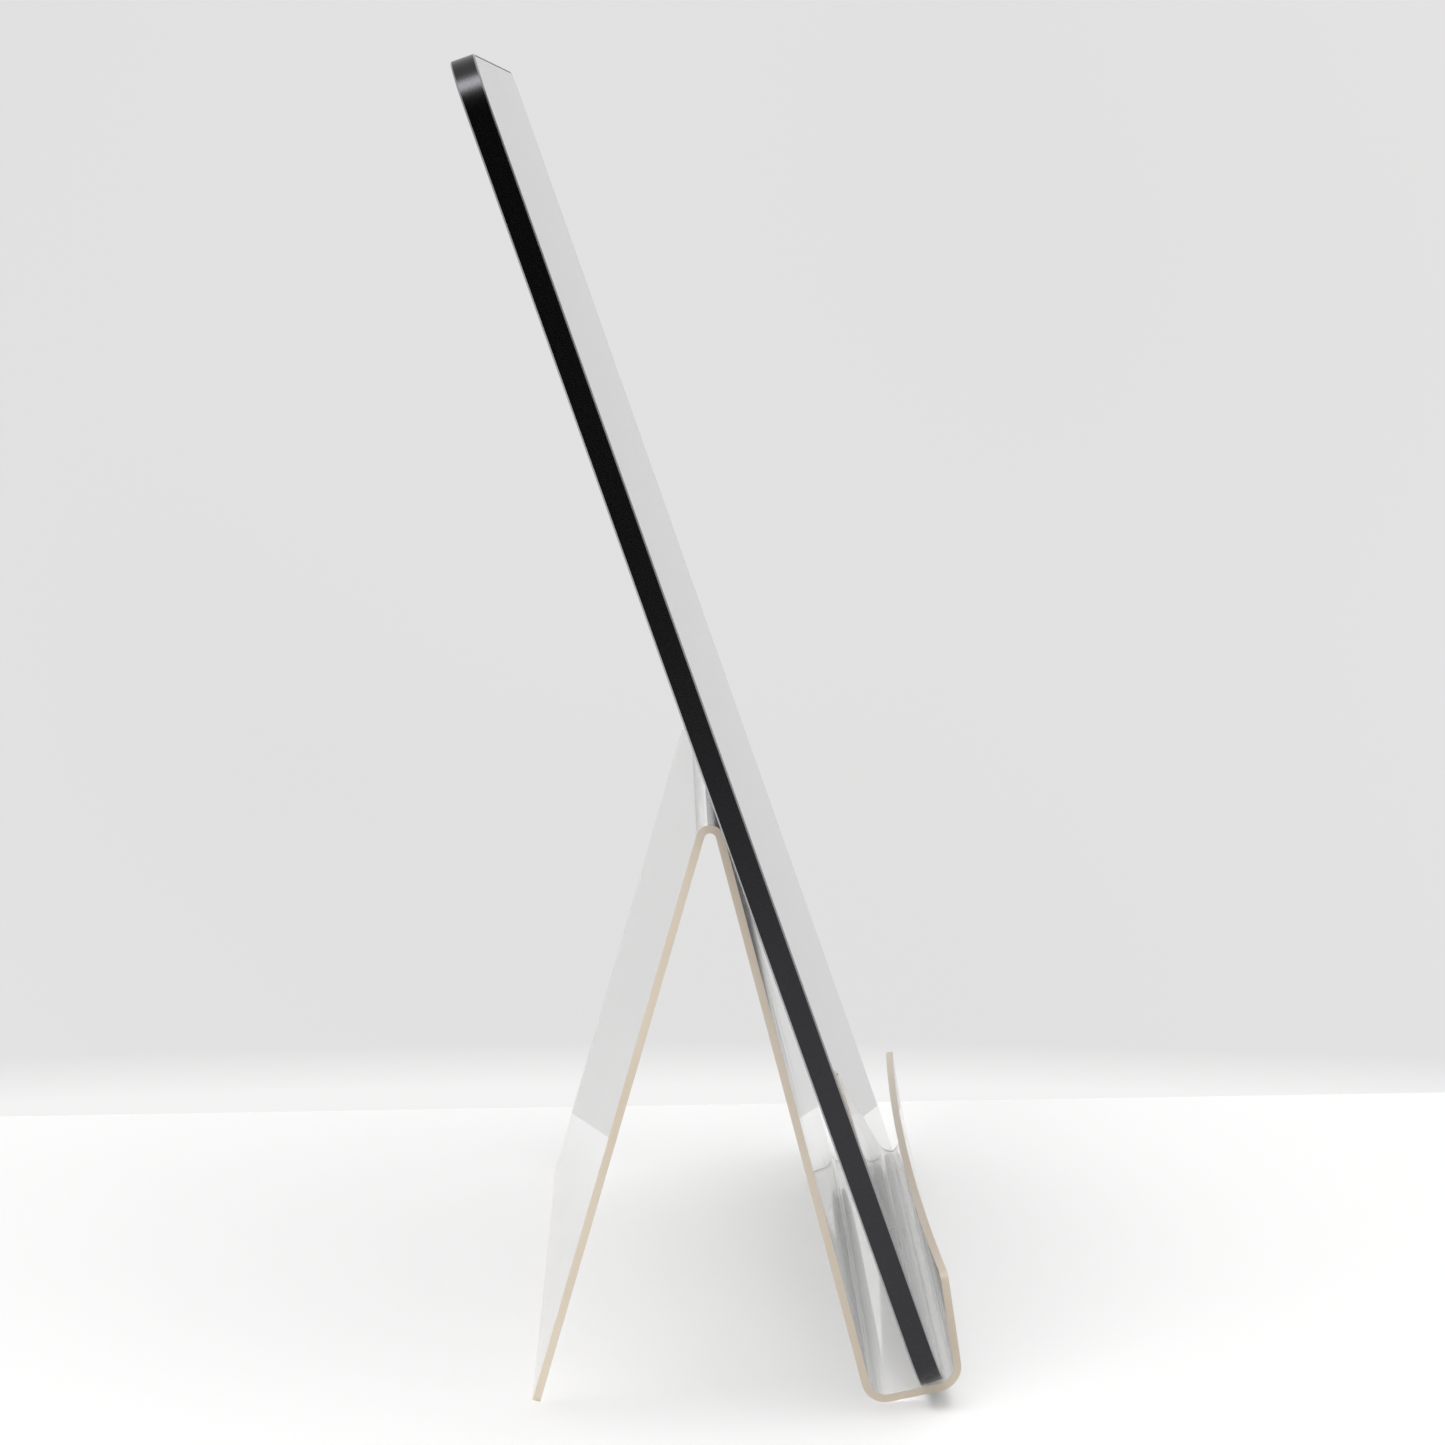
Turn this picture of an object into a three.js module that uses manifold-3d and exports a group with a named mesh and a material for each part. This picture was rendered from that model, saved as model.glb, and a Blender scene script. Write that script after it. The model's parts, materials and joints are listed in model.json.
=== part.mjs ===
// A slim digital photo frame in portrait, leaning on a clear easel bent from one acrylic sheet.
//
// Millimetres and degrees. X runs across the picture, the picture faces -Y and leans back
// towards +Y, and +Z is up. The origin is on the table, in the middle of the object's box.
//
// The display is built lying in its own upright frame and then leant back as one group:
// z is the height above its lower edge, y is 0 on the rear face and -DISPLAY_DEPTH on the rim's
// front face, and x is 0 in the middle.

import * as THREE from "three";
import { mergeVertices } from "three/addons/utils/BufferGeometryUtils.js";
import Module from "manifold-3d";

// ---------------------------------------------------------------- driving dimensions

// The display as a whole.
const DISPLAY_WIDTH = 242;
const DISPLAY_HEIGHT = 347.5;
const DISPLAY_DEPTH = 6.2;
const DISPLAY_CORNER = 14.5;
const DISPLAY_LEAN = 19.3;
const EDGE_CHAMFER = 0.4;
const PICTURE_BORDER = 17;

// The aluminium rim and what closes it.
const RIM_WALL = 1.8;
const FRONT_LIP = 0.5;
const WEB_THICKNESS = 1.0;
const GLASS_THICKNESS = 0.8;
const GLASS_RECESS = 0.1;
const ADHESIVE_THICKNESS = 0.15;
const COVER_THICKNESS = 0.8;

// The panel stack, from the front.
const PANEL_MARGIN = 3;
const PANEL_THICKNESS = 0.6;
const OPTICS_THICKNESS = 0.2;
const GUIDE_THICKNESS = 0.6;
const REFLECTOR_THICKNESS = 0.15;
const TRAY_THICKNESS = 0.4;
const LED_COUNT = 24;
const LED_BAR_HEIGHT = 2.2;
const LED_STRIP_SHARE = 0.45;
const LED_WIDTH_SHARE = 0.6;

// Boards, cells and small parts in the bay behind the panel tray.
const BOARD_THICKNESS = 0.6;
const FLEX_THICKNESS = 0.15;
const CELL_PARTING = 6;
const CELL_SIDE_ROOM = 16.4;
const CELL_HEIGHT = 128;
const CELL_THICKNESS = 1.45;
const CELL_BASE = 52;
const CELL_EDGE = 0.3;
const MAIN_BOARD_WIDTH = 148;
const MAIN_BOARD_HEIGHT = 66;
const MAIN_BOARD_BASE = 212;
const DRIVER_BOARD_WIDTH = 150;
const DRIVER_BOARD_HEIGHT = 11;
const DRIVER_BOARD_BASE = 4;
const PANEL_FLEX_SHARE = 0.8;
const PANEL_FLEX_DROP = 1.2;
const BOARD_SCREW_INSET = 4;
const SIDE_SCREW_INSET = 2.5;
const CHIP_CAN_HEIGHT = 0.8;
const CHIP_CAN_WALL = 0.2;

// Pressed cans on the main board: across from the middle, and up from the board's lower edge.
const PROCESSOR_SHIELD = { left: -18, width: 32, base: 20, height: 30 };
const WIFI_MODULE = { left: -62, width: 18, base: 40, height: 14 };

const SPEAKER_LENGTH = 32;
const SPEAKER_WIDTH = 8.6;
const SPEAKER_DEPTH = 2.5;
const SPEAKER_SLOTS = 9;
const SPEAKER_SLOT_WIDTH = 1.1;
const SPEAKER_SLOT_LENGTH = 6;

// The socket and buttons in the rim's right-hand side.
const SOCKET_WIDTH = 8.94;
const SOCKET_HEIGHT = 3.16;
const SOCKET_LENGTH = 7.3;
const SOCKET_WALL = 0.3;
const SOCKET_BASE = 90;
const BUTTON_LENGTH = 12;
const BUTTON_HEIGHT = 2.2;
const BUTTON_PROUD = 0.5;
const BUTTON_TRAVEL = 0.4;
const PICTURE_BUTTON_BASE = 118;
const POWER_BUTTON_BASE = 140;
const SIDE_BOARD_WIDTH = 8.4;
const SIDE_BOARD_MARGIN = 12;
const SIDE_BOARD_WALL_ROOM = 3.4;

// Screws.
const COVER_SCREW_INSET = 7;
const COVER_SCREWS_PER_ROW = 4;
const COVER_SCREW_HEAD = 1.5;
const COVER_SCREW_SHANK = 0.7;
const COVER_SCREW_LENGTH = 2.4;
const COVER_SCREW_POINT = 0.3;
const COVER_SCREW_SEAT = 0.25;
const COVER_SCREW_RIM = 0.1;
const COVER_SCREW_SUNK = 0.05;
const BOSS_RADIUS = 2.4;
const BOARD_SCREW_HEAD = 1.4;
const BOARD_SCREW_SHANK = 0.6;

// The acrylic easel. Leans are measured from upright, the ledge's rise from level.
const SHEET = 2;
const EASEL_WIDTH = 218;
const APEX_HEIGHT = 147.6;
const LEG_LEAN = 16;
const PLATE_LEAN = 14.7;
const LEDGE_RISE = 12;
const LIP_LEAN = 8.5;
const LIP_LENGTH = 23.6;
const LIP_BOW = 2.8;
const LIP_ROOM = 2.9;
const APEX_INNER_RADIUS = 1.5;
const HEEL_INNER_RADIUS = 4;
const TOE_INNER_RADIUS = 4.5;
const SHEET_CORNER = 2;

// Clearances.
const REST_GAP = 0.3;
const SIDE_FIT = 0.2;
const GLASS_FIT = 0.1;
const LAYER_GAP = 0.1;
const SLIDE_FIT = 0.15;

// How far a cutting shape runs past what it cuts.
const PAST = 1;

// Facets.
const CORNER_STEPS = 8;
const SMALL_CORNER_STEPS = 4;
const BEND_STEP = 15;
const EASEL_STATIONS = 10;
const SCREW_SIDES = 10;

// ---------------------------------------------------------------- helpers

const wasm = await Module();
wasm.setup();

const radians = THREE.MathUtils.degToRad;
const cosine = (degrees) => Math.cos(radians(degrees));
const sine = (degrees) => Math.sin(radians(degrees));

function toSolid(geometry) {
  const bare = geometry.index ? geometry.toNonIndexed() : geometry.clone();
  bare.deleteAttribute("normal");
  bare.deleteAttribute("uv");
  const merged = mergeVertices(bare, 1e-4);
  return new wasm.Manifold(
    new wasm.Mesh({
      numProp: 3,
      vertProperties: merged.attributes.position.array,
      triVerts: new Uint32Array(merged.index.array),
    }),
  );
}

function toGeometry(solid) {
  const mesh = solid.getMesh();
  const geometry = new THREE.BufferGeometry();
  geometry.setAttribute("position", new THREE.BufferAttribute(mesh.vertProperties, 3));
  geometry.setIndex(new THREE.BufferAttribute(mesh.triVerts, 1));
  geometry.computeVertexNormals();
  return geometry;
}

const join = (geometries) =>
  toGeometry(geometries.map(toSolid).reduce((whole, piece) => whole.add(piece)));

function cut(geometry, tools) {
  return toGeometry(tools.map(toSolid).reduce((whole, tool) => whole.subtract(tool), toSolid(geometry)));
}

// A rectangle with round corners in the picture's plane, from its edges.
function roundedRect({ left, right, bottom, top, corner }) {
  const shape = new THREE.Shape();
  const quarter = Math.PI / 2;
  shape.absarc(right - corner, bottom + corner, corner, -quarter, 0);
  shape.absarc(right - corner, top - corner, corner, 0, quarter);
  shape.absarc(left + corner, top - corner, corner, quarter, 2 * quarter);
  shape.absarc(left + corner, bottom + corner, corner, 2 * quarter, 3 * quarter);
  return shape;
}

function rect(left, right, bottom, top) {
  const shape = new THREE.Shape();
  shape.moveTo(left, bottom);
  shape.lineTo(right, bottom);
  shape.lineTo(right, top);
  shape.lineTo(left, top);
  return shape;
}

// The display's outline, drawn in by a distance all round.
function displayOutline(inset) {
  return roundedRect({
    left: -DISPLAY_WIDTH / 2 + inset,
    right: DISPLAY_WIDTH / 2 - inset,
    bottom: inset,
    top: DISPLAY_HEIGHT - inset,
    corner: Math.max(DISPLAY_CORNER - inset, 0.5),
  });
}

// A flat layer of the display: an outline in the picture's plane, from y = back towards the front.
function layer(shape, back, thickness, { chamfer = 0, steps = CORNER_STEPS } = {}) {
  const geometry = new THREE.ExtrudeGeometry(shape, {
    depth: thickness - 2 * chamfer,
    curveSegments: steps,
    bevelEnabled: chamfer > 0,
    bevelThickness: chamfer,
    bevelSize: chamfer,
    bevelOffset: -chamfer,
    bevelSegments: 1,
  });
  geometry.translate(0, 0, chamfer);
  geometry.rotateX(Math.PI / 2);
  geometry.translate(0, back, 0);
  return geometry;
}

const box = (left, right, bottom, top, back, thickness) =>
  layer(rect(left, right, bottom, top), back, thickness);

// An outline with half-round ends, its length along the display's height.
function stadium(length, height) {
  const shape = new THREE.Shape();
  const reach = length / 2 - height / 2;
  shape.absarc(reach, 0, height / 2, -Math.PI / 2, Math.PI / 2);
  shape.absarc(-reach, 0, height / 2, Math.PI / 2, (3 * Math.PI) / 2);
  return shape;
}

// A stadium bar along X, centred at a depth and height of the display.
function sideBar(length, height, from, to, depth, up) {
  const geometry = new THREE.ExtrudeGeometry(stadium(length, height), {
    depth: to - from,
    curveSegments: SMALL_CORNER_STEPS,
    bevelEnabled: false,
  });
  geometry.rotateY(Math.PI / 2);
  geometry.translate(from, depth, up);
  return geometry;
}

// A turned piece whose axis runs through the display's thickness, from [radius, y] pairs.
function turned(profile, x, up) {
  const points = profile.map(([radius, y]) => new THREE.Vector2(radius, y));
  const geometry = new THREE.LatheGeometry(points, SCREW_SIDES);
  geometry.translate(x, 0, up);
  return geometry;
}

function finish(colour, roughness, metalness, opacity = 1) {
  return new THREE.MeshStandardMaterial({
    color: colour,
    roughness,
    metalness,
    opacity,
    transparent: opacity < 1,
  });
}

function part(name, geometry, material) {
  const mesh = new THREE.Mesh(geometry, material);
  mesh.name = name;
  return mesh;
}

// ---------------------------------------------------------------- levels through the display

// Each level is the y of a layer's rear face. The stack is laid from the glass backwards.
const glassFront = -DISPLAY_DEPTH + GLASS_RECESS;
const glassBack = glassFront + GLASS_THICKNESS;
const adhesiveBack = glassBack + LAYER_GAP + ADHESIVE_THICKNESS;
const webFront = adhesiveBack + LAYER_GAP;
const webBack = webFront + WEB_THICKNESS;
const panelBack = glassBack + LAYER_GAP + PANEL_THICKNESS;
const opticsBack = panelBack + LAYER_GAP + OPTICS_THICKNESS;
const guideBack = opticsBack + LAYER_GAP + GUIDE_THICKNESS;
const reflectorBack = guideBack + LAYER_GAP + REFLECTOR_THICKNESS;
const trayBack = reflectorBack + LAYER_GAP + TRAY_THICKNESS;
const boardBack = trayBack + 2 * LAYER_GAP + BOARD_THICKNESS;
const coverFront = -COVER_THICKNESS;

// Edges of the panel and of the opening in the rim's web.
const panelRight = DISPLAY_WIDTH / 2 - PICTURE_BORDER + PANEL_MARGIN;
const panelBottom = PICTURE_BORDER - PANEL_MARGIN;
const panelTop = DISPLAY_HEIGHT - PICTURE_BORDER + PANEL_MARGIN;
const flexRoom = 2.5;
const insideWall = DISPLAY_WIDTH / 2 - RIM_WALL;

// Centres of the cover screws: one row below the picture and one above it.
const coverScrewPlaces = [COVER_SCREW_INSET, DISPLAY_HEIGHT - COVER_SCREW_INSET].flatMap((up) =>
  Array.from({ length: COVER_SCREWS_PER_ROW }, (_, index) => {
    const span = DISPLAY_WIDTH - 2 * COVER_SCREW_INSET;
    return [span * (index / (COVER_SCREWS_PER_ROW - 1) - 0.5), up];
  }),
);

// Two loudspeakers, between the first and second and the third and fourth screws of the lower row.
const speakerCentre = (coverScrewPlaces[2][0] + coverScrewPlaces[3][0]) / 2;
const speakerBottom = RIM_WALL + 2 * SIDE_FIT;

const buttonPlaces = [
  ["picture", PICTURE_BUTTON_BASE],
  ["power", POWER_BUTTON_BASE],
];
const socketDepth = coverFront - LAYER_GAP - SOCKET_HEIGHT / 2;
const buttonDepth = (webBack + coverFront) / 2;

// ---------------------------------------------------------------- the rim

function rimFrame() {
  const body = layer(displayOutline(0), 0, DISPLAY_DEPTH, { chamfer: EDGE_CHAMFER });
  const frontPocket = layer(displayOutline(FRONT_LIP), webFront, webFront + DISPLAY_DEPTH + PAST);
  const rearBay = layer(displayOutline(RIM_WALL), PAST, PAST - webBack);
  const window = box(
    -panelRight - SIDE_FIT,
    panelRight + SIDE_FIT,
    panelBottom - flexRoom,
    panelTop + SIDE_FIT,
    0,
    DISPLAY_DEPTH,
  );
  const hollow = cut(body, [frontPocket, rearBay, window]);

  const bossRoot = webBack - WEB_THICKNESS / 2;
  const bosses = coverScrewPlaces.map(([x, up]) =>
    turned([[0, bossRoot], [BOSS_RADIUS, bossRoot], [BOSS_RADIUS, coverFront - LAYER_GAP],
      [0, coverFront - LAYER_GAP]], x, up),
  );
  const pilot = COVER_SCREW_SHANK + SLIDE_FIT;
  const pilots = coverScrewPlaces.map(([x, up]) =>
    turned([[0, webBack + LAYER_GAP], [pilot, webBack + LAYER_GAP], [pilot, PAST], [0, PAST]], x, up),
  );
  const outside = DISPLAY_WIDTH / 2 + PAST;
  const slots = buttonPlaces.map(([, up]) =>
    sideBar(BUTTON_LENGTH + 2 * SLIDE_FIT, BUTTON_HEIGHT + 2 * SLIDE_FIT, insideWall - PAST, outside,
      buttonDepth, up),
  );
  const mouth = sideBar(SOCKET_WIDTH + 2 * SLIDE_FIT, SOCKET_HEIGHT + 2 * SLIDE_FIT,
    insideWall - SOCKET_LENGTH - SIDE_FIT, outside, socketDepth, SOCKET_BASE);
  return cut(join([hollow, ...bosses]), [...pilots, ...slots, mouth]);
}

// ---------------------------------------------------------------- covers

function coverGlass() {
  return layer(displayOutline(FRONT_LIP + GLASS_FIT), glassBack, GLASS_THICKNESS);
}

function glassAdhesive() {
  const outside = layer(displayOutline(FRONT_LIP + 2 * SIDE_FIT), adhesiveBack, ADHESIVE_THICKNESS);
  const middle = box(-panelRight - SIDE_FIT, panelRight + SIDE_FIT, panelBottom - SIDE_FIT,
    panelTop + SIDE_FIT, 0, DISPLAY_DEPTH);
  return cut(outside, [middle]);
}

// Slots over a loudspeaker, for its sound to leave by.
function speakerSlots(centre) {
  const pitch = SPEAKER_LENGTH / (SPEAKER_SLOTS + 1);
  const middle = speakerBottom + SPEAKER_WIDTH / 2;
  const [halfWidth, halfLength] = [SPEAKER_SLOT_WIDTH / 2, SPEAKER_SLOT_LENGTH / 2];
  return Array.from({ length: SPEAKER_SLOTS }, (_, index) => {
    const x = centre + (index - (SPEAKER_SLOTS - 1) / 2) * pitch;
    return box(x - halfWidth, x + halfWidth, middle - halfLength, middle + halfLength, PAST,
      COVER_THICKNESS + 2 * PAST);
  });
}

function rearCover() {
  const plate = layer(displayOutline(RIM_WALL + SIDE_FIT), 0, COVER_THICKNESS);
  const head = COVER_SCREW_HEAD + SLIDE_FIT;
  const shank = COVER_SCREW_SHANK + SLIDE_FIT;
  const sinks = coverScrewPlaces.map(([x, up]) =>
    turned([[0, coverFront - PAST], [shank, coverFront - PAST], [shank, coverFront + LAYER_GAP],
      [head, -LAYER_GAP], [head, PAST], [0, PAST]], x, up),
  );
  return cut(plate, [...sinks, ...speakerSlots(-speakerCentre), ...speakerSlots(speakerCentre)]);
}

function coverScrew(x, up) {
  const tip = -COVER_SCREW_LENGTH;
  const top = -COVER_SCREW_SUNK;
  return turned([[0, tip], [COVER_SCREW_SHANK, tip + COVER_SCREW_POINT],
    [COVER_SCREW_SHANK, coverFront + COVER_SCREW_SEAT], [COVER_SCREW_HEAD, top - COVER_SCREW_RIM],
    [COVER_SCREW_HEAD, top], [0, top]], x, up);
}

// ---------------------------------------------------------------- the panel stack

const stackLayer = (back, thickness, lift = 0) =>
  box(-panelRight, panelRight, panelBottom + lift, panelTop, back, thickness);

// The strip of light sources along the light guide's lower edge, one tooth for each source.
function ledBar() {
  const shape = new THREE.Shape();
  const pitch = (2 * panelRight) / LED_COUNT;
  const bar = panelBottom + LED_BAR_HEIGHT * LED_STRIP_SHARE;
  const tip = panelBottom + LED_BAR_HEIGHT;
  shape.moveTo(-panelRight, panelBottom);
  shape.lineTo(panelRight, panelBottom);
  shape.lineTo(panelRight, bar);
  for (let index = LED_COUNT - 1; index >= 0; index--) {
    const centre = -panelRight + (index + 0.5) * pitch;
    const half = (pitch * LED_WIDTH_SHARE) / 2;
    shape.lineTo(centre + half, bar);
    shape.lineTo(centre + half, tip);
    shape.lineTo(centre - half, tip);
    shape.lineTo(centre - half, bar);
  }
  shape.lineTo(-panelRight, bar);
  return layer(shape, guideBack, GUIDE_THICKNESS);
}

// The driver board lies behind the tray, and its flex wraps round the stack's lower edge.
const driverBottom = panelBottom + DRIVER_BOARD_BASE;

function driverBoard() {
  return box(-DRIVER_BOARD_WIDTH / 2, DRIVER_BOARD_WIDTH / 2, driverBottom,
    driverBottom + DRIVER_BOARD_HEIGHT, boardBack, BOARD_THICKNESS);
}

function panelFlex() {
  const front = panelBack + LAYER_GAP;
  const rear = boardBack + LAYER_GAP + FLEX_THICKNESS;
  const bottom = panelBottom - PANEL_FLEX_DROP;
  const hold = driverBottom + DRIVER_BOARD_HEIGHT * 0.6;
  const ear = panelBottom - SIDE_FIT;
  const shape = new THREE.Shape();
  shape.moveTo(front, ear);
  shape.lineTo(front, bottom);
  shape.lineTo(rear, bottom);
  shape.lineTo(rear, hold);
  shape.lineTo(rear - FLEX_THICKNESS, hold);
  shape.lineTo(rear - FLEX_THICKNESS, bottom + FLEX_THICKNESS);
  shape.lineTo(front + FLEX_THICKNESS, bottom + FLEX_THICKNESS);
  shape.lineTo(front + FLEX_THICKNESS, ear);
  const width = DRIVER_BOARD_WIDTH * PANEL_FLEX_SHARE;
  const geometry = new THREE.ExtrudeGeometry(shape, { depth: width, bevelEnabled: false });
  geometry.applyMatrix4(new THREE.Matrix4().makeBasis(
    new THREE.Vector3(0, 1, 0), new THREE.Vector3(0, 0, 1), new THREE.Vector3(1, 0, 0)));
  geometry.translate(-width / 2, 0, 0);
  return geometry;
}

// ---------------------------------------------------------------- boards, cells and sound

const mainBoardTop = MAIN_BOARD_BASE + MAIN_BOARD_HEIGHT;

function screwHoles(places) {
  const hole = BOARD_SCREW_SHANK + SLIDE_FIT;
  return places.map(([x, up]) =>
    turned([[0, trayBack], [hole, trayBack], [hole, 0], [0, 0]], x, up));
}

const mainScrewPlaces = [-1, 1].flatMap((side) =>
  [MAIN_BOARD_BASE + BOARD_SCREW_INSET, mainBoardTop - BOARD_SCREW_INSET].map((up) =>
    [side * (MAIN_BOARD_WIDTH / 2 - BOARD_SCREW_INSET), up]));
const sideBoardRight = insideWall - SIDE_BOARD_WALL_ROOM;
const sideBoardLeft = sideBoardRight - SIDE_BOARD_WIDTH;
const sideBoardBottom = SOCKET_BASE - SIDE_BOARD_MARGIN;
const sideBoardTop = POWER_BUTTON_BASE + SIDE_BOARD_MARGIN;
const sideScrewPlaces = [sideBoardBottom + SIDE_SCREW_INSET, sideBoardTop - SIDE_SCREW_INSET].map((up) =>
  [(sideBoardLeft + sideBoardRight) / 2, up]);

function mainBoard() {
  const board = box(-MAIN_BOARD_WIDTH / 2, MAIN_BOARD_WIDTH / 2, MAIN_BOARD_BASE, mainBoardTop,
    boardBack, BOARD_THICKNESS);
  return cut(board, screwHoles(mainScrewPlaces));
}

// The side board holds the switches, and is notched round the socket.
function sideBoard() {
  const board = box(sideBoardLeft, sideBoardRight, sideBoardBottom, sideBoardTop, boardBack,
    BOARD_THICKNESS);
  const half = SOCKET_WIDTH / 2 + SIDE_FIT;
  const notch = box(insideWall - SOCKET_LENGTH - SIDE_FIT, DISPLAY_WIDTH, SOCKET_BASE - half,
    SOCKET_BASE + half, 0, DISPLAY_DEPTH);
  return cut(board, [notch, ...screwHoles(sideScrewPlaces)]);
}

function boardScrew(x, up) {
  const tip = boardBack - BOARD_THICKNESS;
  const under = boardBack + LAYER_GAP;
  return turned([[0, tip], [BOARD_SCREW_SHANK, tip], [BOARD_SCREW_SHANK, under],
    [BOARD_SCREW_HEAD, under], [BOARD_SCREW_HEAD, under + 0.4], [0, under + 0.4]], x, up);
}

// A pressed can over chips: a shallow box open towards its board.
function chipCan({ left, width, base, height }) {
  const wall = CHIP_CAN_WALL;
  const [right, bottom] = [left + width, MAIN_BOARD_BASE + base];
  const top = bottom + height;
  const back = boardBack + LAYER_GAP + CHIP_CAN_HEIGHT;
  const outside = box(left, right, bottom, top, back, CHIP_CAN_HEIGHT);
  const inside = box(left + wall, right - wall, bottom + wall, top - wall, back - wall, CHIP_CAN_HEIGHT);
  return cut(outside, [inside]);
}

// Two pouch cells side by side, as wide as the side board leaves room for.
const cellInner = CELL_PARTING / 2;
const cellOuter = sideBoardLeft - CELL_SIDE_ROOM;

function cell(side) {
  const [left, right] = [side * cellInner, side * cellOuter].sort((a, b) => a - b);
  const outline = roundedRect({
    left,
    right,
    bottom: CELL_BASE,
    top: CELL_BASE + CELL_HEIGHT,
    corner: 2,
  });
  return layer(outline, trayBack + LAYER_GAP + CELL_THICKNESS, CELL_THICKNESS,
    { chamfer: CELL_EDGE, steps: SMALL_CORNER_STEPS });
}

const cellBoardBottom = CELL_BASE + CELL_HEIGHT + 2;
const cellBoardTop = cellBoardBottom + 7;

function cellBoard() {
  const reach = (cellInner + cellOuter) / 2;
  return box(-reach, reach, cellBoardBottom, cellBoardTop, boardBack, BOARD_THICKNESS);
}

// Flat flexes lie just behind the boards that they join.
const flexBack = boardBack + LAYER_GAP + FLEX_THICKNESS;

function cellLead() {
  return box(-9, 9, cellBoardTop - 4, MAIN_BOARD_BASE + 7, flexBack, FLEX_THICKNESS);
}

function sideFlex() {
  const left = MAIN_BOARD_WIDTH / 2 - 14;
  const middle = MAIN_BOARD_BASE + 14;
  const shape = new THREE.Shape();
  shape.moveTo(left, middle);
  shape.lineTo(sideBoardLeft + 1, middle);
  shape.lineTo(sideBoardLeft + 1, sideBoardTop - 7);
  shape.lineTo(sideBoardRight - 1, sideBoardTop - 7);
  shape.lineTo(sideBoardRight - 1, middle + 7);
  shape.lineTo(left, middle + 7);
  const strip = layer(shape, flexBack, FLEX_THICKNESS);
  const room = BOARD_SCREW_HEAD + SIDE_FIT;
  const reliefs = sideScrewPlaces.map(([x, up]) =>
    turned([[0, trayBack], [room, trayBack], [room, 0], [0, 0]], x, up));
  return cut(strip, reliefs);
}

function speaker(side) {
  const centre = side * speakerCentre;
  const outline = roundedRect({
    left: centre - SPEAKER_LENGTH / 2,
    right: centre + SPEAKER_LENGTH / 2,
    bottom: speakerBottom,
    top: speakerBottom + SPEAKER_WIDTH,
    corner: 2,
  });
  return layer(outline, webBack + LAYER_GAP + SPEAKER_DEPTH, SPEAKER_DEPTH,
    { steps: SMALL_CORNER_STEPS });
}

function wifiAntenna() {
  const back = coverFront - LAYER_GAP;
  const top = DISPLAY_HEIGHT - RIM_WALL - 2;
  return box(-24, 24, top - 8, top, back, FLEX_THICKNESS);
}

// ---------------------------------------------------------------- socket and buttons

const socketMouth = DISPLAY_WIDTH / 2 - EDGE_CHAMFER;

function socketShell() {
  const outside = sideBar(SOCKET_WIDTH, SOCKET_HEIGHT, insideWall - SOCKET_LENGTH, socketMouth,
    socketDepth, SOCKET_BASE);
  const inside = sideBar(SOCKET_WIDTH - 2 * SOCKET_WALL, SOCKET_HEIGHT - 2 * SOCKET_WALL,
    insideWall - SOCKET_LENGTH + SOCKET_WALL, socketMouth + 1, socketDepth, SOCKET_BASE);
  return cut(outside, [inside]);
}

function socketTongue() {
  const root = insideWall - SOCKET_LENGTH + SOCKET_WALL + LAYER_GAP;
  const block = sideBar(SOCKET_WIDTH - 2 * SOCKET_WALL - 2 * LAYER_GAP,
    SOCKET_HEIGHT - 2 * SOCKET_WALL - 2 * LAYER_GAP, root, root + 2, socketDepth, SOCKET_BASE);
  const halfWidth = 3.35;
  const halfHeight = 0.35;
  const blade = box(root + 1, socketMouth - 0.8, SOCKET_BASE - halfWidth, SOCKET_BASE + halfWidth,
    socketDepth + halfHeight, 2 * halfHeight);
  return join([block, blade]);
}

// A button's cap passes through the rim's wall, and a wider flange behind the wall keeps it in.
const buttonFlangeLeft = insideWall - BUTTON_TRAVEL - SLIDE_FIT - 1.1;
const buttonFlangeRight = insideWall - SLIDE_FIT;
const buttonFlangeHeight = coverFront - webBack - 2 * SLIDE_FIT;

function button(up) {
  const cap = sideBar(BUTTON_LENGTH, BUTTON_HEIGHT, buttonFlangeLeft + 0.2,
    DISPLAY_WIDTH / 2 + BUTTON_PROUD, buttonDepth, up);
  const flange = sideBar(BUTTON_LENGTH + 2, buttonFlangeHeight, buttonFlangeLeft, buttonFlangeRight,
    buttonDepth, up);
  return join([cap, flange]);
}

// A switch stands on the side board's rear face, and its nub stops short of the resting button.
function tactSwitch(up) {
  const bodyRight = sideBoardRight + 0.6;
  const back = boardBack + LAYER_GAP + 0.75;
  const body = box(bodyRight - 2.4, bodyRight, up - 2.2, up + 2.2, back, 0.75);
  const nubRight = buttonFlangeLeft - BUTTON_TRAVEL - LAYER_GAP;
  const nub = box(bodyRight - 0.3, nubRight, up - 0.9, up + 0.9, back - 0.1, 0.5);
  return join([body, nub]);
}

// ---------------------------------------------------------------- the easel

const apexOuter = APEX_INNER_RADIUS + SHEET;
const heelOuter = HEEL_INNER_RADIUS + SHEET;

// The heel's bend touches the table at y = 0, with its centre straight above.
const plateLength = (APEX_HEIGHT - apexOuter - heelOuter * (1 - sine(PLATE_LEAN))
  + APEX_INNER_RADIUS * sine(PLATE_LEAN)) / cosine(PLATE_LEAN);
const apexCentre = new THREE.Vector2(
  (heelOuter + APEX_INNER_RADIUS) * cosine(PLATE_LEAN) + plateLength * sine(PLATE_LEAN),
  APEX_HEIGHT - apexOuter,
);
const legLength = (apexCentre.y + APEX_INNER_RADIUS * sine(LEG_LEAN)) / cosine(LEG_LEAN);

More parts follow.
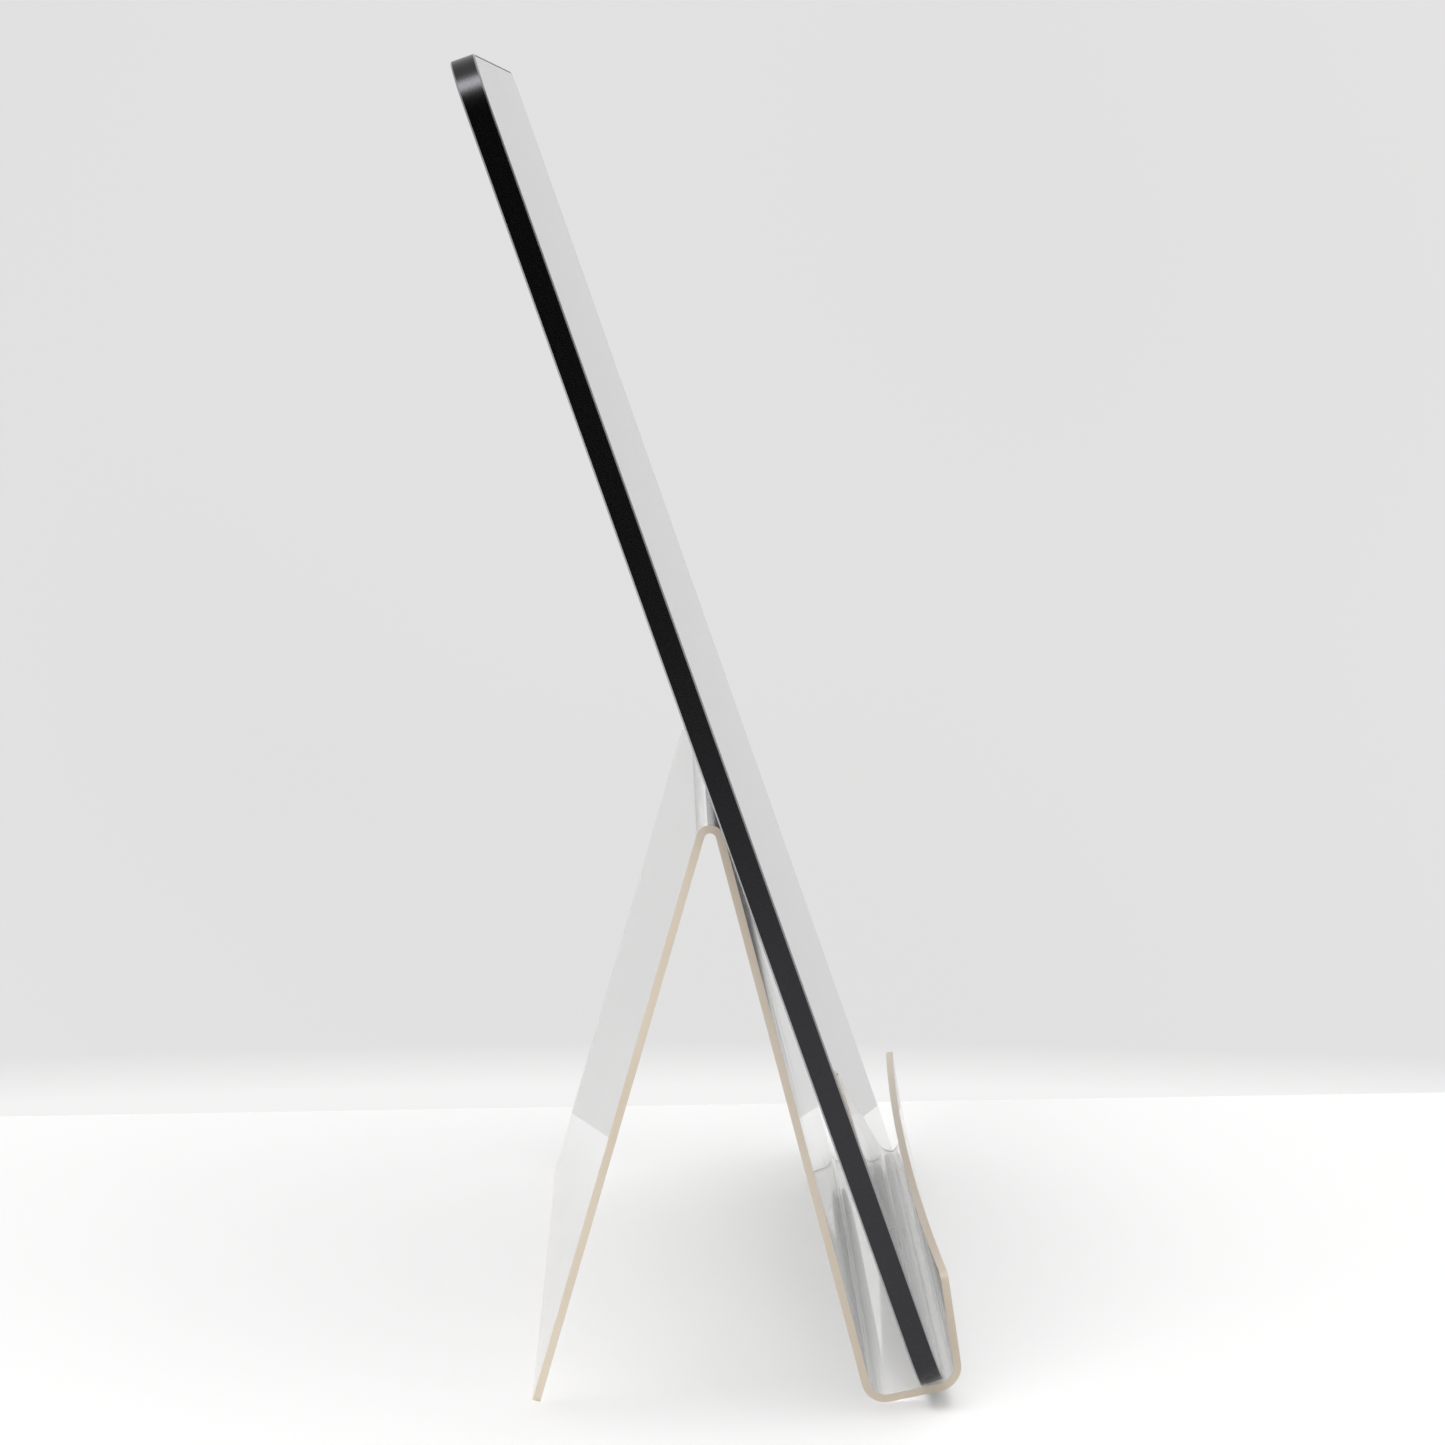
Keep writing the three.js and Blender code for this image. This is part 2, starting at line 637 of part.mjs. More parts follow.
// The display rests on the ledge by its lower rear edge and leans on the apex. Its place along the
// ledge, measured from the end of the heel's bend, is where its rear face just clears the apex.
const alongLedge = new THREE.Vector2(-cosine(LEDGE_RISE), sine(LEDGE_RISE));
const ledgeUp = new THREE.Vector2(sine(LEDGE_RISE), cosine(LEDGE_RISE));
const ledgeStart = new THREE.Vector2(0, heelOuter).addScaledVector(ledgeUp, REST_GAP - HEEL_INNER_RADIUS);
const rearward = new THREE.Vector2(cosine(DISPLAY_LEAN), -sine(DISPLAY_LEAN));
const seat = (apexCentre.clone().sub(ledgeStart).dot(rearward) - apexOuter - REST_GAP)
  / alongLedge.dot(rearward);
const displaySeat = ledgeStart.clone().addScaledVector(alongLedge, seat);
const displayFootprint = DISPLAY_DEPTH * cosine(DISPLAY_LEAN - LEDGE_RISE);
const ledgeLength = seat + displayFootprint + LIP_ROOM - TOE_INNER_RADIUS;

// Fractions of a run at which it gets a ring of points: close together where a corner is rounded
// off a free end, and evenly spaced where the lip bows.
const quarterArc = [1, 2, 3].map((step) => 1 - cosine(step * 30));

function walkSheet(start, heading, moves) {
  const rings = [];
  const at = start.clone();
  const ahead = () => new THREE.Vector2(Math.cos(heading), Math.sin(heading));
  let travelled = 0;
  const mark = (point, distance) => {
    const left = new THREE.Vector2(-Math.sin(heading), Math.cos(heading));
    rings.push({ point: point.clone(), left, travelled: distance });
  };
  mark(at, 0);
  for (const { length = 0, stops = [1], turn = 0, inner = 0 } of moves) {
    for (const fraction of length ? stops : []) {
      mark(at.clone().addScaledVector(ahead(), length * fraction), travelled + length * fraction);
    }
    at.addScaledVector(ahead(), length);
    const steps = Math.round(Math.abs(turn) / BEND_STEP);
    const radius = inner + SHEET / 2;
    const turnStep = radians(turn) / Math.max(steps, 1);
    const chord = 2 * radius * Math.sin(Math.abs(turnStep) / 2);
    for (let step = 0; step < steps; step++) {
      heading += turnStep / 2;
      at.addScaledVector(ahead(), chord);
      heading += turnStep / 2;
      mark(at, travelled + length + radius * Math.abs(turnStep) * (step + 1));
    }
    travelled += length + radius * Math.abs(radians(turn));
  }
  return { rings, travelled };
}

// One sheet, walked from the rear leg's foot over the apex, down the front plate, round the heel,
// along the ledge, round the toe and up the lip.
function easelSheet() {
  const footInside = apexCentre.clone().add(new THREE.Vector2(
    APEX_INNER_RADIUS * cosine(LEG_LEAN) + legLength * sine(LEG_LEAN), -apexCentre.y));
  const foot = new THREE.Vector2(
    footInside.x + (SHEET / 2) * cosine(LEG_LEAN), (SHEET / 2) * sine(LEG_LEAN));
  const legStops = quarterArc.map((part) => (part * SHEET_CORNER) / legLength);
  const lipEnd = quarterArc.map((part) => 1 - (part * SHEET_CORNER) / LIP_LENGTH).reverse();
  return walkSheet(foot, radians(90 + LEG_LEAN), [
    { length: legLength, stops: [...legStops, 1] },
    { turn: 180 - LEG_LEAN - PLATE_LEAN, inner: APEX_INNER_RADIUS },
    { length: plateLength },
    { turn: -(90 + LEDGE_RISE - PLATE_LEAN), inner: HEEL_INNER_RADIUS },
    { length: ledgeLength },
    { turn: -(90 - LEDGE_RISE + LIP_LEAN), inner: TOE_INNER_RADIUS },
    { length: LIP_LENGTH, stops: [0.25, 0.5, 0.75, ...lipEnd, 1] },
  ]);
}

// The sheet is swept across X. Its four free corners are rounded by narrowing the rings near its
// ends, and the lip's middle is bowed towards the display, most at its top edge.
function easel() {
  const { rings, travelled } = easelSheet();
  const outline = [
    ...rings.map((ring) => ({ ...ring, side: -SHEET / 2 })),
    ...rings.map((ring) => ({ ...ring, side: SHEET / 2 })).reverse(),
  ];
  const lipRoot = travelled - LIP_LENGTH;
  const fromEnd = ({ travelled: distance }) => Math.min(distance, travelled - distance, SHEET_CORNER);
  const halfWidth = (ring) => {
    const rise = SHEET_CORNER - fromEnd(ring);
    return EASEL_WIDTH / 2 - SHEET_CORNER + Math.sqrt(SHEET_CORNER ** 2 - rise ** 2);
  };
  const positions = [];
  for (let station = 0; station <= EASEL_STATIONS; station++) {
    const across = (2 * station) / EASEL_STATIONS - 1;
    for (const ring of outline) {
      const up = Math.max(ring.travelled - lipRoot, 0) / LIP_LENGTH;
      const bow = LIP_BOW * (1 - across ** 2) * up ** 2;
      positions.push(
        across * halfWidth(ring),
        ring.point.x + ring.left.x * ring.side + bow,
        ring.point.y + ring.left.y * ring.side,
      );
    }
  }
  const count = outline.length;
  const indices = [];
  for (let station = 0; station < EASEL_STATIONS; station++) {
    for (let index = 0; index < count; index++) {
      const near = station * count + index;
      const next = station * count + ((index + 1) % count);
      indices.push(near, next, next + count, near, next + count, near + count);
    }
  }
  const last = EASEL_STATIONS * count;
  for (let index = 0; index < rings.length - 1; index++) {
    const [a, b] = [index, index + 1];
    const [c, d] = [count - 2 - index, count - 1 - index];
    indices.push(last + a, last + b, last + c, last + a, last + c, last + d);
    indices.push(c, b, a, d, c, a);
  }
  const geometry = new THREE.BufferGeometry();
  geometry.setAttribute("position", new THREE.Float32BufferAttribute(positions, 3));
  geometry.setIndex(indices);
  geometry.computeVertexNormals();
  return geometry;
}

// ---------------------------------------------------------------- assembly

const BLACK_METAL = ["#1c1c1e", 0.45, 0.8];
const CIRCUIT = ["#1d4a33", 0.6, 0.1];
const STEEL = ["#b9bcc0", 0.35, 0.9];
const FLEX = ["#a8641f", 0.5, 0.1];
const DARK_PLASTIC = ["#222224", 0.6, 0];

function displayGroup() {
  const group = new THREE.Group();
  group.add(
    part("rim_frame", rimFrame(), finish(...BLACK_METAL)),
    part("rear_cover", rearCover(), finish("#202022", 0.55, 0.2)),
    part("cover_glass", coverGlass(), finish("#e8ecef", 0.05, 0, 0.3)),
    part("glass_adhesive", glassAdhesive(), finish("#0c0c0d", 0.8, 0)),
    part("display_panel", stackLayer(panelBack, PANEL_THICKNESS), finish("#0a0b10", 0.15, 0)),
    part("optical_sheets", stackLayer(opticsBack, OPTICS_THICKNESS), finish("#e9e9e6", 0.7, 0)),
    part("light_guide", stackLayer(guideBack, GUIDE_THICKNESS, LED_BAR_HEIGHT + SIDE_FIT),
      finish("#dfe6ea", 0.1, 0, 0.5)),
    part("led_bar", ledBar(), finish("#f0e7b8", 0.5, 0)),
    part("reflector_sheet", stackLayer(reflectorBack, REFLECTOR_THICKNESS), finish("#f4f4f4", 0.4, 0)),
    part("panel_tray", stackLayer(trayBack, TRAY_THICKNESS), finish(...STEEL)),
    part("panel_driver_board", driverBoard(), finish(...CIRCUIT)),
    part("panel_flex", panelFlex(), finish(...FLEX)),
    part("main_board", mainBoard(), finish(...CIRCUIT)),
    part("processor_shield", chipCan(PROCESSOR_SHIELD), finish(...STEEL)),
    part("wifi_module", chipCan(WIFI_MODULE), finish(...STEEL)),
    part("side_board", sideBoard(), finish(...CIRCUIT)),
    part("side_flex", sideFlex(), finish(...FLEX)),
    part("battery_cell_left", cell(-1), finish("#8f9297", 0.45, 0.4)),
    part("battery_cell_right", cell(1), finish("#8f9297", 0.45, 0.4)),
    part("battery_board", cellBoard(), finish(...CIRCUIT)),
    part("battery_lead", cellLead(), finish(...FLEX)),
    part("speaker_left", speaker(-1), finish(...DARK_PLASTIC)),
    part("speaker_right", speaker(1), finish(...DARK_PLASTIC)),
    part("wifi_antenna", wifiAntenna(), finish(...FLEX)),
    part("usb_c_shell", socketShell(), finish(...STEEL)),
    part("usb_c_tongue", socketTongue(), finish(...DARK_PLASTIC)),
  );
  coverScrewPlaces.forEach(([x, up], index) =>
    group.add(part(`cover_screw_${index + 1}`, coverScrew(x, up), finish("#2b2b2d", 0.4, 0.9))));
  [...mainScrewPlaces, ...sideScrewPlaces].forEach(([x, up], index) =>
    group.add(part(`board_screw_${index + 1}`, boardScrew(x, up), finish(...STEEL))));
  for (const [name, up] of buttonPlaces) {
    group.add(
      part(`${name}_button`, button(up), finish(...BLACK_METAL)),
      part(`${name}_switch`, tactSwitch(up), finish(...STEEL)),
    );
  }
  group.rotation.x = -radians(DISPLAY_LEAN);
  group.position.set(0, displaySeat.x, displaySeat.y);
  return group;
}

const photoFrame = new THREE.Group();
photoFrame.add(part("easel", easel(), finish("#eef2f3", 0.05, 0, 0.25)), displayGroup());

const extent = new THREE.Box3().setFromObject(photoFrame, true);
photoFrame.position.set(
  -(extent.min.x + extent.max.x) / 2,
  -(extent.min.y + extent.max.y) / 2,
  -extent.min.z,
);

export default photoFrame;
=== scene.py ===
# %% [markdown]
# # A slim digital photo frame on a clear bent easel
#
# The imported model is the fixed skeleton: every node in it has its true size and place. This
# lesson dresses that skeleton. Outer pieces are modelled again with finer shapes, inner pieces
# keep their solids, and everything gets a finish made from shader nodes.

import json
import math

import bmesh
import bpy
from mathutils import Matrix, Vector

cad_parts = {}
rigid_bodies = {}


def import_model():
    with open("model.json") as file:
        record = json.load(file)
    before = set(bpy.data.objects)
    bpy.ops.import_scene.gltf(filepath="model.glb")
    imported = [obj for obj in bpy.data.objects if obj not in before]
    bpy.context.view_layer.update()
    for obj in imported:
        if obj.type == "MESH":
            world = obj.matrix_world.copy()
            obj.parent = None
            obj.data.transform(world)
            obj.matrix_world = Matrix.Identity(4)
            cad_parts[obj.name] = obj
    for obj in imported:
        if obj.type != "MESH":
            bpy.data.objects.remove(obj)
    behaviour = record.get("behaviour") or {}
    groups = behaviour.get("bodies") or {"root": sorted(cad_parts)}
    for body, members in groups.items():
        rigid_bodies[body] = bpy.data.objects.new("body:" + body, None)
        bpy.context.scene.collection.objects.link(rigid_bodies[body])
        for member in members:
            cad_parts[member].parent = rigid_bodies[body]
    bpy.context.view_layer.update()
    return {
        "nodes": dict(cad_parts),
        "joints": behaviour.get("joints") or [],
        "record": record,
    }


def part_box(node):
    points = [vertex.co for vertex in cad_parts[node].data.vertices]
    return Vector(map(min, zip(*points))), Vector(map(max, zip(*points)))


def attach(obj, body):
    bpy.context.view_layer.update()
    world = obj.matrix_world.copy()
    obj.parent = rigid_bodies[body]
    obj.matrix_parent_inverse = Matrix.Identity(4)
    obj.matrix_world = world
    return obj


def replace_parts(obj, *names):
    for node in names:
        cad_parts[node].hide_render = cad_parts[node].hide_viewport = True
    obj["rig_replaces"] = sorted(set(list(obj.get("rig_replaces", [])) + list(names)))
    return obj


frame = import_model()
MM = 0.001

# %% [markdown]
# ## The display's own frame
#
# The display was drawn upright and then leant back, so its pieces are easiest to shape upright
# too. The lift joint runs along the display's plane, so its axis tells the lean. Measuring the rim
# along that axis and across it gives the display's lower rear edge. A matrix made from both moves
# a finished piece from the upright frame to its real place.

# %% Find how the display stands
lift = next(joint for joint in frame["joints"] if joint["name"] == "display_lift")
up = Vector(lift["axis"]).normalized()
lean = math.atan2(up.y, up.z)
rearward = Vector((0, up.z, -up.y))


def corners(name):
    return [vertex.co for vertex in frame["nodes"][name].data.vertices]


rim_points = corners("rim_frame")
origin = (
    Vector((1, 0, 0)) * sum(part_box("rim_frame")[side].x for side in (0, 1)) / 2
    + rearward * max(point.dot(rearward) for point in rim_points)
    + up * min(point.dot(up) for point in rim_points)
)
stand = Matrix.Translation(origin) @ Matrix.Rotation(-lean, 4, "X")
print("lean in degrees:", round(math.degrees(lean), 2), "lower rear edge:", origin)


def display_box(name):
    """The lowest and highest corner of a CAD node, in the display's own upright frame."""
    points = [stand.inverted() @ point for point in corners(name)]
    return Vector(map(min, zip(*points))), Vector(map(max, zip(*points)))


# %% [markdown]
# ## Hands
#
# A few helpers stand in for what a hand does in the viewport: select one object, pick faces or
# edges by a test, add a block, round some edges, cut with another shape. Everything is deselected
# first, because an operator acts on all that is selected.

# %% Select and pick
PARALLEL = 0.999
NEAR = 0.00001


def only(piece):
    if bpy.context.mode != "OBJECT":
        bpy.ops.object.mode_set(mode="OBJECT")
    bpy.ops.object.select_all(action="DESELECT")
    piece.select_set(True)
    bpy.context.view_layer.objects.active = piece
    return piece


def pick(piece, kind, test):
    """Goes into edit mode with the faces, edges or vertices selected that pass the test."""
    only(piece)
    bpy.ops.object.mode_set(mode="EDIT")
    bpy.ops.mesh.select_mode(type=kind)
    bpy.ops.mesh.select_all(action="DESELECT")
    mesh = bmesh.from_edit_mesh(piece.data)
    items = {"VERT": mesh.verts, "EDGE": mesh.edges, "FACE": mesh.faces}[kind]
    chosen = [item for item in items if test(item)]
    for item in chosen:
        item.select_set(True)
    bmesh.update_edit_mesh(piece.data)
    return len(chosen)


def done(piece):
    bpy.ops.object.mode_set(mode="OBJECT")
    return piece


def runs_along(axis):
    """A test for edges parallel to X, Y or Z, given as 0, 1 or 2."""
    def test(edge):
        way = (edge.verts[1].co - edge.verts[0].co).normalized()
        return abs(way[axis]) > PARALLEL
    return test


def faces_towards(way):
    """A test for faces whose normal points a given way."""
    return lambda face: face.normal.dot(Vector(way)) > PARALLEL


def lies_at(axis, value):
    """A test for edges whose two ends both lie at a level along X, Y or Z."""
    return lambda edge: all(abs(vertex.co[axis] - value) < NEAR for vertex in edge.verts)


# %% Add, round, cut and join
SAME_POINT = 0.000002
ALMOST_HALF = 0.4999


def block(name, low, high):
    centre = (Vector(low) + Vector(high)) / 2
    size = Vector(high) - Vector(low)
    bpy.ops.mesh.primitive_cube_add(size=1, location=centre, scale=size)
    piece = only(bpy.context.object)
    bpy.ops.object.transform_apply(location=True, rotation=True, scale=True)
    piece.name = piece.data.name = name
    return piece


def rod(name, start, end, radius, sides=32):
    """A round bar whose axis runs through the display's thickness."""
    middle = (Vector(start) + Vector(end)) / 2
    bpy.ops.mesh.primitive_cylinder_add(
        vertices=sides, radius=radius, depth=(Vector(end) - Vector(start)).length,
        location=middle, rotation=(math.pi / 2, 0, 0))
    piece = only(bpy.context.object)
    bpy.ops.object.transform_apply(location=True, rotation=True, scale=True)
    piece.name = piece.data.name = name
    return piece


def bevel(piece, test, width, segments, material=-1):
    """Rounds the edges that pass a test. The new faces can take a material slot of their own."""
    pick(piece, "EDGE", test)
    bpy.ops.mesh.bevel(offset=width, segments=segments, affect="EDGES", clamp_overlap=False,
                       material=material)
    return done(piece)


def slab(name, low, high, corner, segments=20):
    """A flat plate in the picture's plane with round corners."""
    return bevel(block(name, low, high), runs_along(1), corner, segments)


def bar(name, low, high, segments=10):
    """A bar along X whose section has half-round ends, with the points merged where they meet."""
    half = (high[1] - low[1]) * ALMOST_HALF
    piece = bevel(block(name, low, high), runs_along(0), half, segments)
    pick(piece, "VERT", lambda vertex: True)
    bpy.ops.mesh.remove_doubles(threshold=SAME_POINT)
    return done(piece)


def use_modifier(piece, kind, **settings):
    only(piece)
    modifier = piece.modifiers.new(kind.lower(), kind)
    for key, value in settings.items():
        setattr(modifier, key, value)
    bpy.ops.object.modifier_apply(modifier=modifier.name)
    return piece


def combine(piece, tool, operation="DIFFERENCE"):
    use_modifier(piece, "BOOLEAN", object=tool, operation=operation, solver="EXACT")
    bpy.data.objects.remove(tool)
    return piece


def copy_of(piece, name, shift):
    twin = bpy.data.objects.new(name, piece.data.copy())
    bpy.context.collection.objects.link(twin)
    twin.data.name = name
    twin.data.transform(Matrix.Translation(shift))
    return twin


def joined(pieces):
    only(pieces[0])
    for piece in pieces:
        piece.select_set(True)
    bpy.ops.object.join()
    return pieces[0]


def tidy(piece, angle=20):
    """Merges doubled points, drops loose edges, turns all faces outwards and smooths gentle bends.

    The volume tells whether the faces really look outwards: it is negative when they don't.
    """
    pick(piece, "VERT", lambda vertex: True)
    bpy.ops.mesh.remove_doubles(threshold=SAME_POINT)
    bpy.ops.mesh.delete_loose()
    bpy.ops.mesh.select_all(action="SELECT")
    bpy.ops.mesh.normals_make_consistent(inside=False)
    if bmesh.from_edit_mesh(piece.data).calc_volume(signed=True) < 0:
        bpy.ops.mesh.flip_normals()
    done(piece)
    bpy.ops.object.shade_smooth_by_angle(angle=math.radians(angle))
    return piece


def lean_back(piece):
    """Moves a piece shaped upright to its real place, and writes the place into its mesh."""
    only(piece)
    piece.matrix_world = stand
    bpy.ops.object.transform_apply(location=True, rotation=True, scale=True)
    return piece


# %% [markdown]
# ## Camera
#
# The frame is seen from its own left side, a little from above, through a long lens. The camera
# stands on the left, level with the top of the picture, and is tipped down to hold the object.

# %% Place the camera
easel_low, easel_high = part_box("easel")
CAMERA_BEHIND_TOE = 0.07493
CAMERA_PLACE = (-1.01225, easel_low.y + CAMERA_BEHIND_TOE, 0.3126)
CAMERA_TIP = 8.778
CAMERA_TURN = 0.946
FOCAL_LENGTH = 93.17
SENSOR_WIDTH = 36
camera_data = bpy.data.cameras.new("camera")
camera_data.lens = FOCAL_LENGTH
camera_data.sensor_width = SENSOR_WIDTH
camera = bpy.data.objects.new("camera", camera_data)
camera.location = CAMERA_PLACE
camera.rotation_euler = (math.radians(90 - CAMERA_TIP), 0, math.radians(-90 - CAMERA_TURN))
bpy.context.collection.objects.link(camera)
bpy.context.scene.camera = camera
print("camera at", CAMERA_PLACE)

# %% [markdown]
# ## Shader helpers
#
# A finish is a small web of nodes. Writing one by hand in code is easier with a helper that adds a
# node and either sets each input or links it. Colours and numbers that never change are set on the
# shader itself, and only what changes over the surface is linked.

# %% Add and mix nodes
def add(tree, kind, inputs=None, **settings):
    made = tree.nodes.new(kind)
    for key, value in settings.items():
        setattr(made, key, value)
    for key, value in (inputs or {}).items():
        if isinstance(value, bpy.types.NodeSocket):
            tree.links.new(value, made.inputs[key])
        else:
            made.inputs[key].default_value = value
    return made


def colour(red, green, blue):
    return (red, green, blue, 1)


def mixed(tree, factor, first, second):
    """A colour between two others. Sockets 0, 6 and 7 of the Mix node are its factor and colours."""
    return add(tree, "ShaderNodeMix", {0: factor, 6: first, 7: second}, data_type="RGBA").outputs[2]


def between(tree, value, low, high, to_low=0.0, to_high=1.0):
    """A value stretched from one range to another, and held inside it."""
    return add(tree, "ShaderNodeMapRange", {
        "Value": value, "From Min": low, "From Max": high, "To Min": to_low, "To Max": to_high,
    }).outputs[0]


def maths(tree, operation, first, second=0.0):
    return add(tree, "ShaderNodeMath", {0: first, 1: second}, operation=operation).outputs[0]


def group(name, takes, gives):
    """An empty node group with named inputs and outputs."""
    tree = bpy.data.node_groups.new(name, "ShaderNodeTree")
    for label, kind, value in takes:
        socket = tree.interface.new_socket(name=label, in_out="INPUT", socket_type=kind)
        if value is not None:
            socket.default_value = value
    for label, kind in gives:
        tree.interface.new_socket(name=label, in_out="OUTPUT", socket_type=kind)
    return tree, tree.nodes.new("NodeGroupInput").outputs, tree.nodes.new("NodeGroupOutput")


# %% [markdown]
# ## Shared effects
#
# Three effects turn up in many finishes, so each is a node group. Grain is the fine unevenness of
# moulded, blasted or rolled stuff. Marks are the few specks and hairline scratches that handling
# leaves. Wear lightens what sticks out, where a black finish rubs thin.

# %% Grain
grain, taken, given = group("grain", [
    ("Vector", "NodeSocketVector", None),
    ("Scale", "NodeSocketFloat", 900.0),
    ("Stretch", "NodeSocketVector", (1, 1, 1)),
], [("Fine", "NodeSocketFloat"), ("Broad", "NodeSocketFloat")])
stretched = add(grain, "ShaderNodeVectorMath", {0: taken["Vector"], 1: taken["Stretch"]},
                operation="MULTIPLY").outputs[0]
fine = add(grain, "ShaderNodeTexNoise",
           {"Vector": stretched, "Scale": taken["Scale"], "Detail": 3.0, "Roughness": 0.6})
broad = add(grain, "ShaderNodeTexNoise", {"Vector": taken["Vector"], "Scale": 14.0, "Detail": 4.0})
grain.links.new(fine.outputs["Fac"], given.inputs["Fine"])
grain.links.new(broad.outputs["Fac"], given.inputs["Broad"])

# %% Marks
marks, taken, given = group("marks", [
    ("Vector", "NodeSocketVector", None),
    ("Specks", "NodeSocketFloat", 0.05),
    ("Scratches", "NodeSocketFloat", 0.5),
], [("Mask", "NodeSocketFloat")])
cells = add(marks, "ShaderNodeTexVoronoi", {"Vector": taken["Vector"], "Scale": 130.0})
specks = maths(marks, "LESS_THAN", cells.outputs["Distance"], taken["Specks"])
some = add(marks, "ShaderNodeTexNoise", {"Vector": taken["Vector"], "Scale": 23.0})
specks = maths(marks, "MULTIPLY", specks, between(marks, some.outputs["Fac"], 0.5, 0.58))
hair = add(marks, "ShaderNodeTexWave", {
    "Vector": taken["Vector"], "Scale": 28.0, "Distortion": 5.0, "Detail": 2.0,
    "Detail Scale": 0.5}, wave_type="BANDS", bands_direction="DIAGONAL")
hair = between(marks, hair.outputs["Fac"], 0.9985, 1.0)
gaps = add(marks, "ShaderNodeTexNoise", {"Vector": taken["Vector"], "Scale": 31.0})
hair = maths(marks, "MULTIPLY", hair, between(marks, gaps.outputs["Fac"], 0.58, 0.64))
hair = maths(marks, "MULTIPLY", hair, taken["Scratches"])
marks.links.new(maths(marks, "MAXIMUM", specks, hair), given.inputs["Mask"])

# %% Wear
wear, taken, given = group("wear", [
    ("Vector", "NodeSocketVector", None),
    ("Start", "NodeSocketFloat", 0.52),
    ("End", "NodeSocketFloat", 0.6),
], [("Mask", "NodeSocketFloat")])
edges = add(wear, "ShaderNodeNewGeometry").outputs["Pointiness"]
edges = add(wear, "ShaderNodeMapRange",
            {"Value": edges, "From Min": taken["Start"], "From Max": taken["End"]}).outputs[0]
patches = add(wear, "ShaderNodeTexNoise", {"Vector": taken["Vector"], "Scale": 60.0, "Detail": 4.0})
patches = between(wear, patches.outputs["Fac"], 0.35, 0.7)
wear.links.new(maths(wear, "MULTIPLY", edges, patches), given.inputs["Mask"])
print("groups:", [tree.name for tree in bpy.data.node_groups])

# %% [markdown]
# ## Finishes
#
# A pattern on the display follows its leaning plane, so one Mapping node takes object coordinates
# back to the upright frame. From there one helper makes most finishes: two colours mixed by the
# broad unevenness, a roughness that the fine grain varies, a bump, wear and marks. The rim's black
# is almost smooth and has no wear. Its chamfers get a lighter metal of their own, which paints the
# thin highlight line along the rim's edges.

# %% Start a finish
def new_material(name):
    material = bpy.data.materials.new(name)
    material.use_nodes = True
    tree = material.node_tree
    shader = tree.nodes["Principled BSDF"]
    place = add(tree, "ShaderNodeTexCoord").outputs["Object"]
    return material, tree, shader, place


def upright(tree, place):
    """Object coordinates turned back to the display's upright frame, in metres."""
    return add(tree, "ShaderNodeMapping", {
        "Vector": place, "Location": origin, "Rotation": (-lean, 0, 0)},
        vector_type="TEXTURE").outputs[0]


def use(tree, shared, inputs):
    """Puts a shared effect into a finish, and hands back its outputs."""
    return add(tree, "ShaderNodeGroup", inputs, node_tree=shared).outputs


MARKS_ROUGHEN = 0.06


def finish(name, dark, light, roughness, metallic=0.0, scale=900.0, stretch=(1, 1, 1),
           spread=0.08, bump=0.1, depth=0.00002, worn=None, specks=0.04):
    material, tree, shader, place = new_material(name)
    place = upright(tree, place)
    texture = use(tree, grain, {"Vector": place, "Scale": scale, "Stretch": stretch})
    tone = mixed(tree, between(tree, texture["Broad"], 0.3, 0.7), dark, light)
    if worn:
        rubbed = use(tree, wear, {"Vector": place})["Mask"]
        tone = mixed(tree, rubbed, tone, worn)
    touched = use(tree, marks, {"Vector": place, "Specks": specks})["Mask"]
    rough = between(tree, texture["Fine"], 0.3, 0.7, roughness - spread, roughness + spread)
    rough = maths(tree, "ADD", rough, maths(tree, "MULTIPLY", touched, MARKS_ROUGHEN))
    height = add(tree, "ShaderNodeBump", {
        "Height": texture["Fine"], "Strength": bump, "Distance": depth}).outputs[0]
    tree.links.new(tone, shader.inputs["Base Color"])
    tree.links.new(rough, shader.inputs["Roughness"])
    tree.links.new(height, shader.inputs["Normal"])
    shader.inputs["Metallic"].default_value = metallic
    return material


# %% Metals and plastics
black_anodised = finish("black_anodised", colour(0.04, 0.0395, 0.042), colour(0.046, 0.0455, 0.049),
                        0.28, metallic=1.0, scale=2600.0, spread=0.02, bump=0.01, specks=0.02)
# The chamfers' lighter metal is a painted highlight: it stands in for the thin shine along the rim's
# edges.
painted_highlight_chamfer = finish("painted_highlight_chamfer", colour(0.28, 0.28, 0.29), colour(0.4, 0.4, 0.41),
                     0.22, metallic=1.0, scale=900.0, stretch=(1, 1, 0.1), bump=0.05)
cover_black = finish("cover_black", colour(0.012, 0.012, 0.013), colour(0.02, 0.02, 0.021),
                     0.55, scale=1800.0, bump=0.5, depth=0.00005, worn=colour(0.05, 0.05, 0.05))
screw_black = finish("screw_black", colour(0.05, 0.05, 0.055), colour(0.08, 0.08, 0.085),
                     0.35, metallic=1.0, scale=4000.0, worn=colour(0.4, 0.4, 0.41))
steel = finish("steel", colour(0.48, 0.49, 0.5), colour(0.62, 0.63, 0.64), 0.28, metallic=1.0,
               scale=1500.0, stretch=(0.03, 1, 1), bump=0.15)
tray_metal = finish("tray_metal", colour(0.55, 0.56, 0.58), colour(0.66, 0.67, 0.69), 0.38,
                    metallic=1.0, scale=1100.0, stretch=(1, 1, 0.02), bump=0.2)
dark_plastic = finish("dark_plastic", colour(0.014, 0.014, 0.015), colour(0.03, 0.03, 0.032),
                      0.5, scale=3000.0, bump=0.3, worn=colour(0.08, 0.08, 0.08))
white_film = finish("white_film", colour(0.78, 0.78, 0.76), colour(0.86, 0.86, 0.84), 0.6,
                    scale=5000.0, bump=0.1)
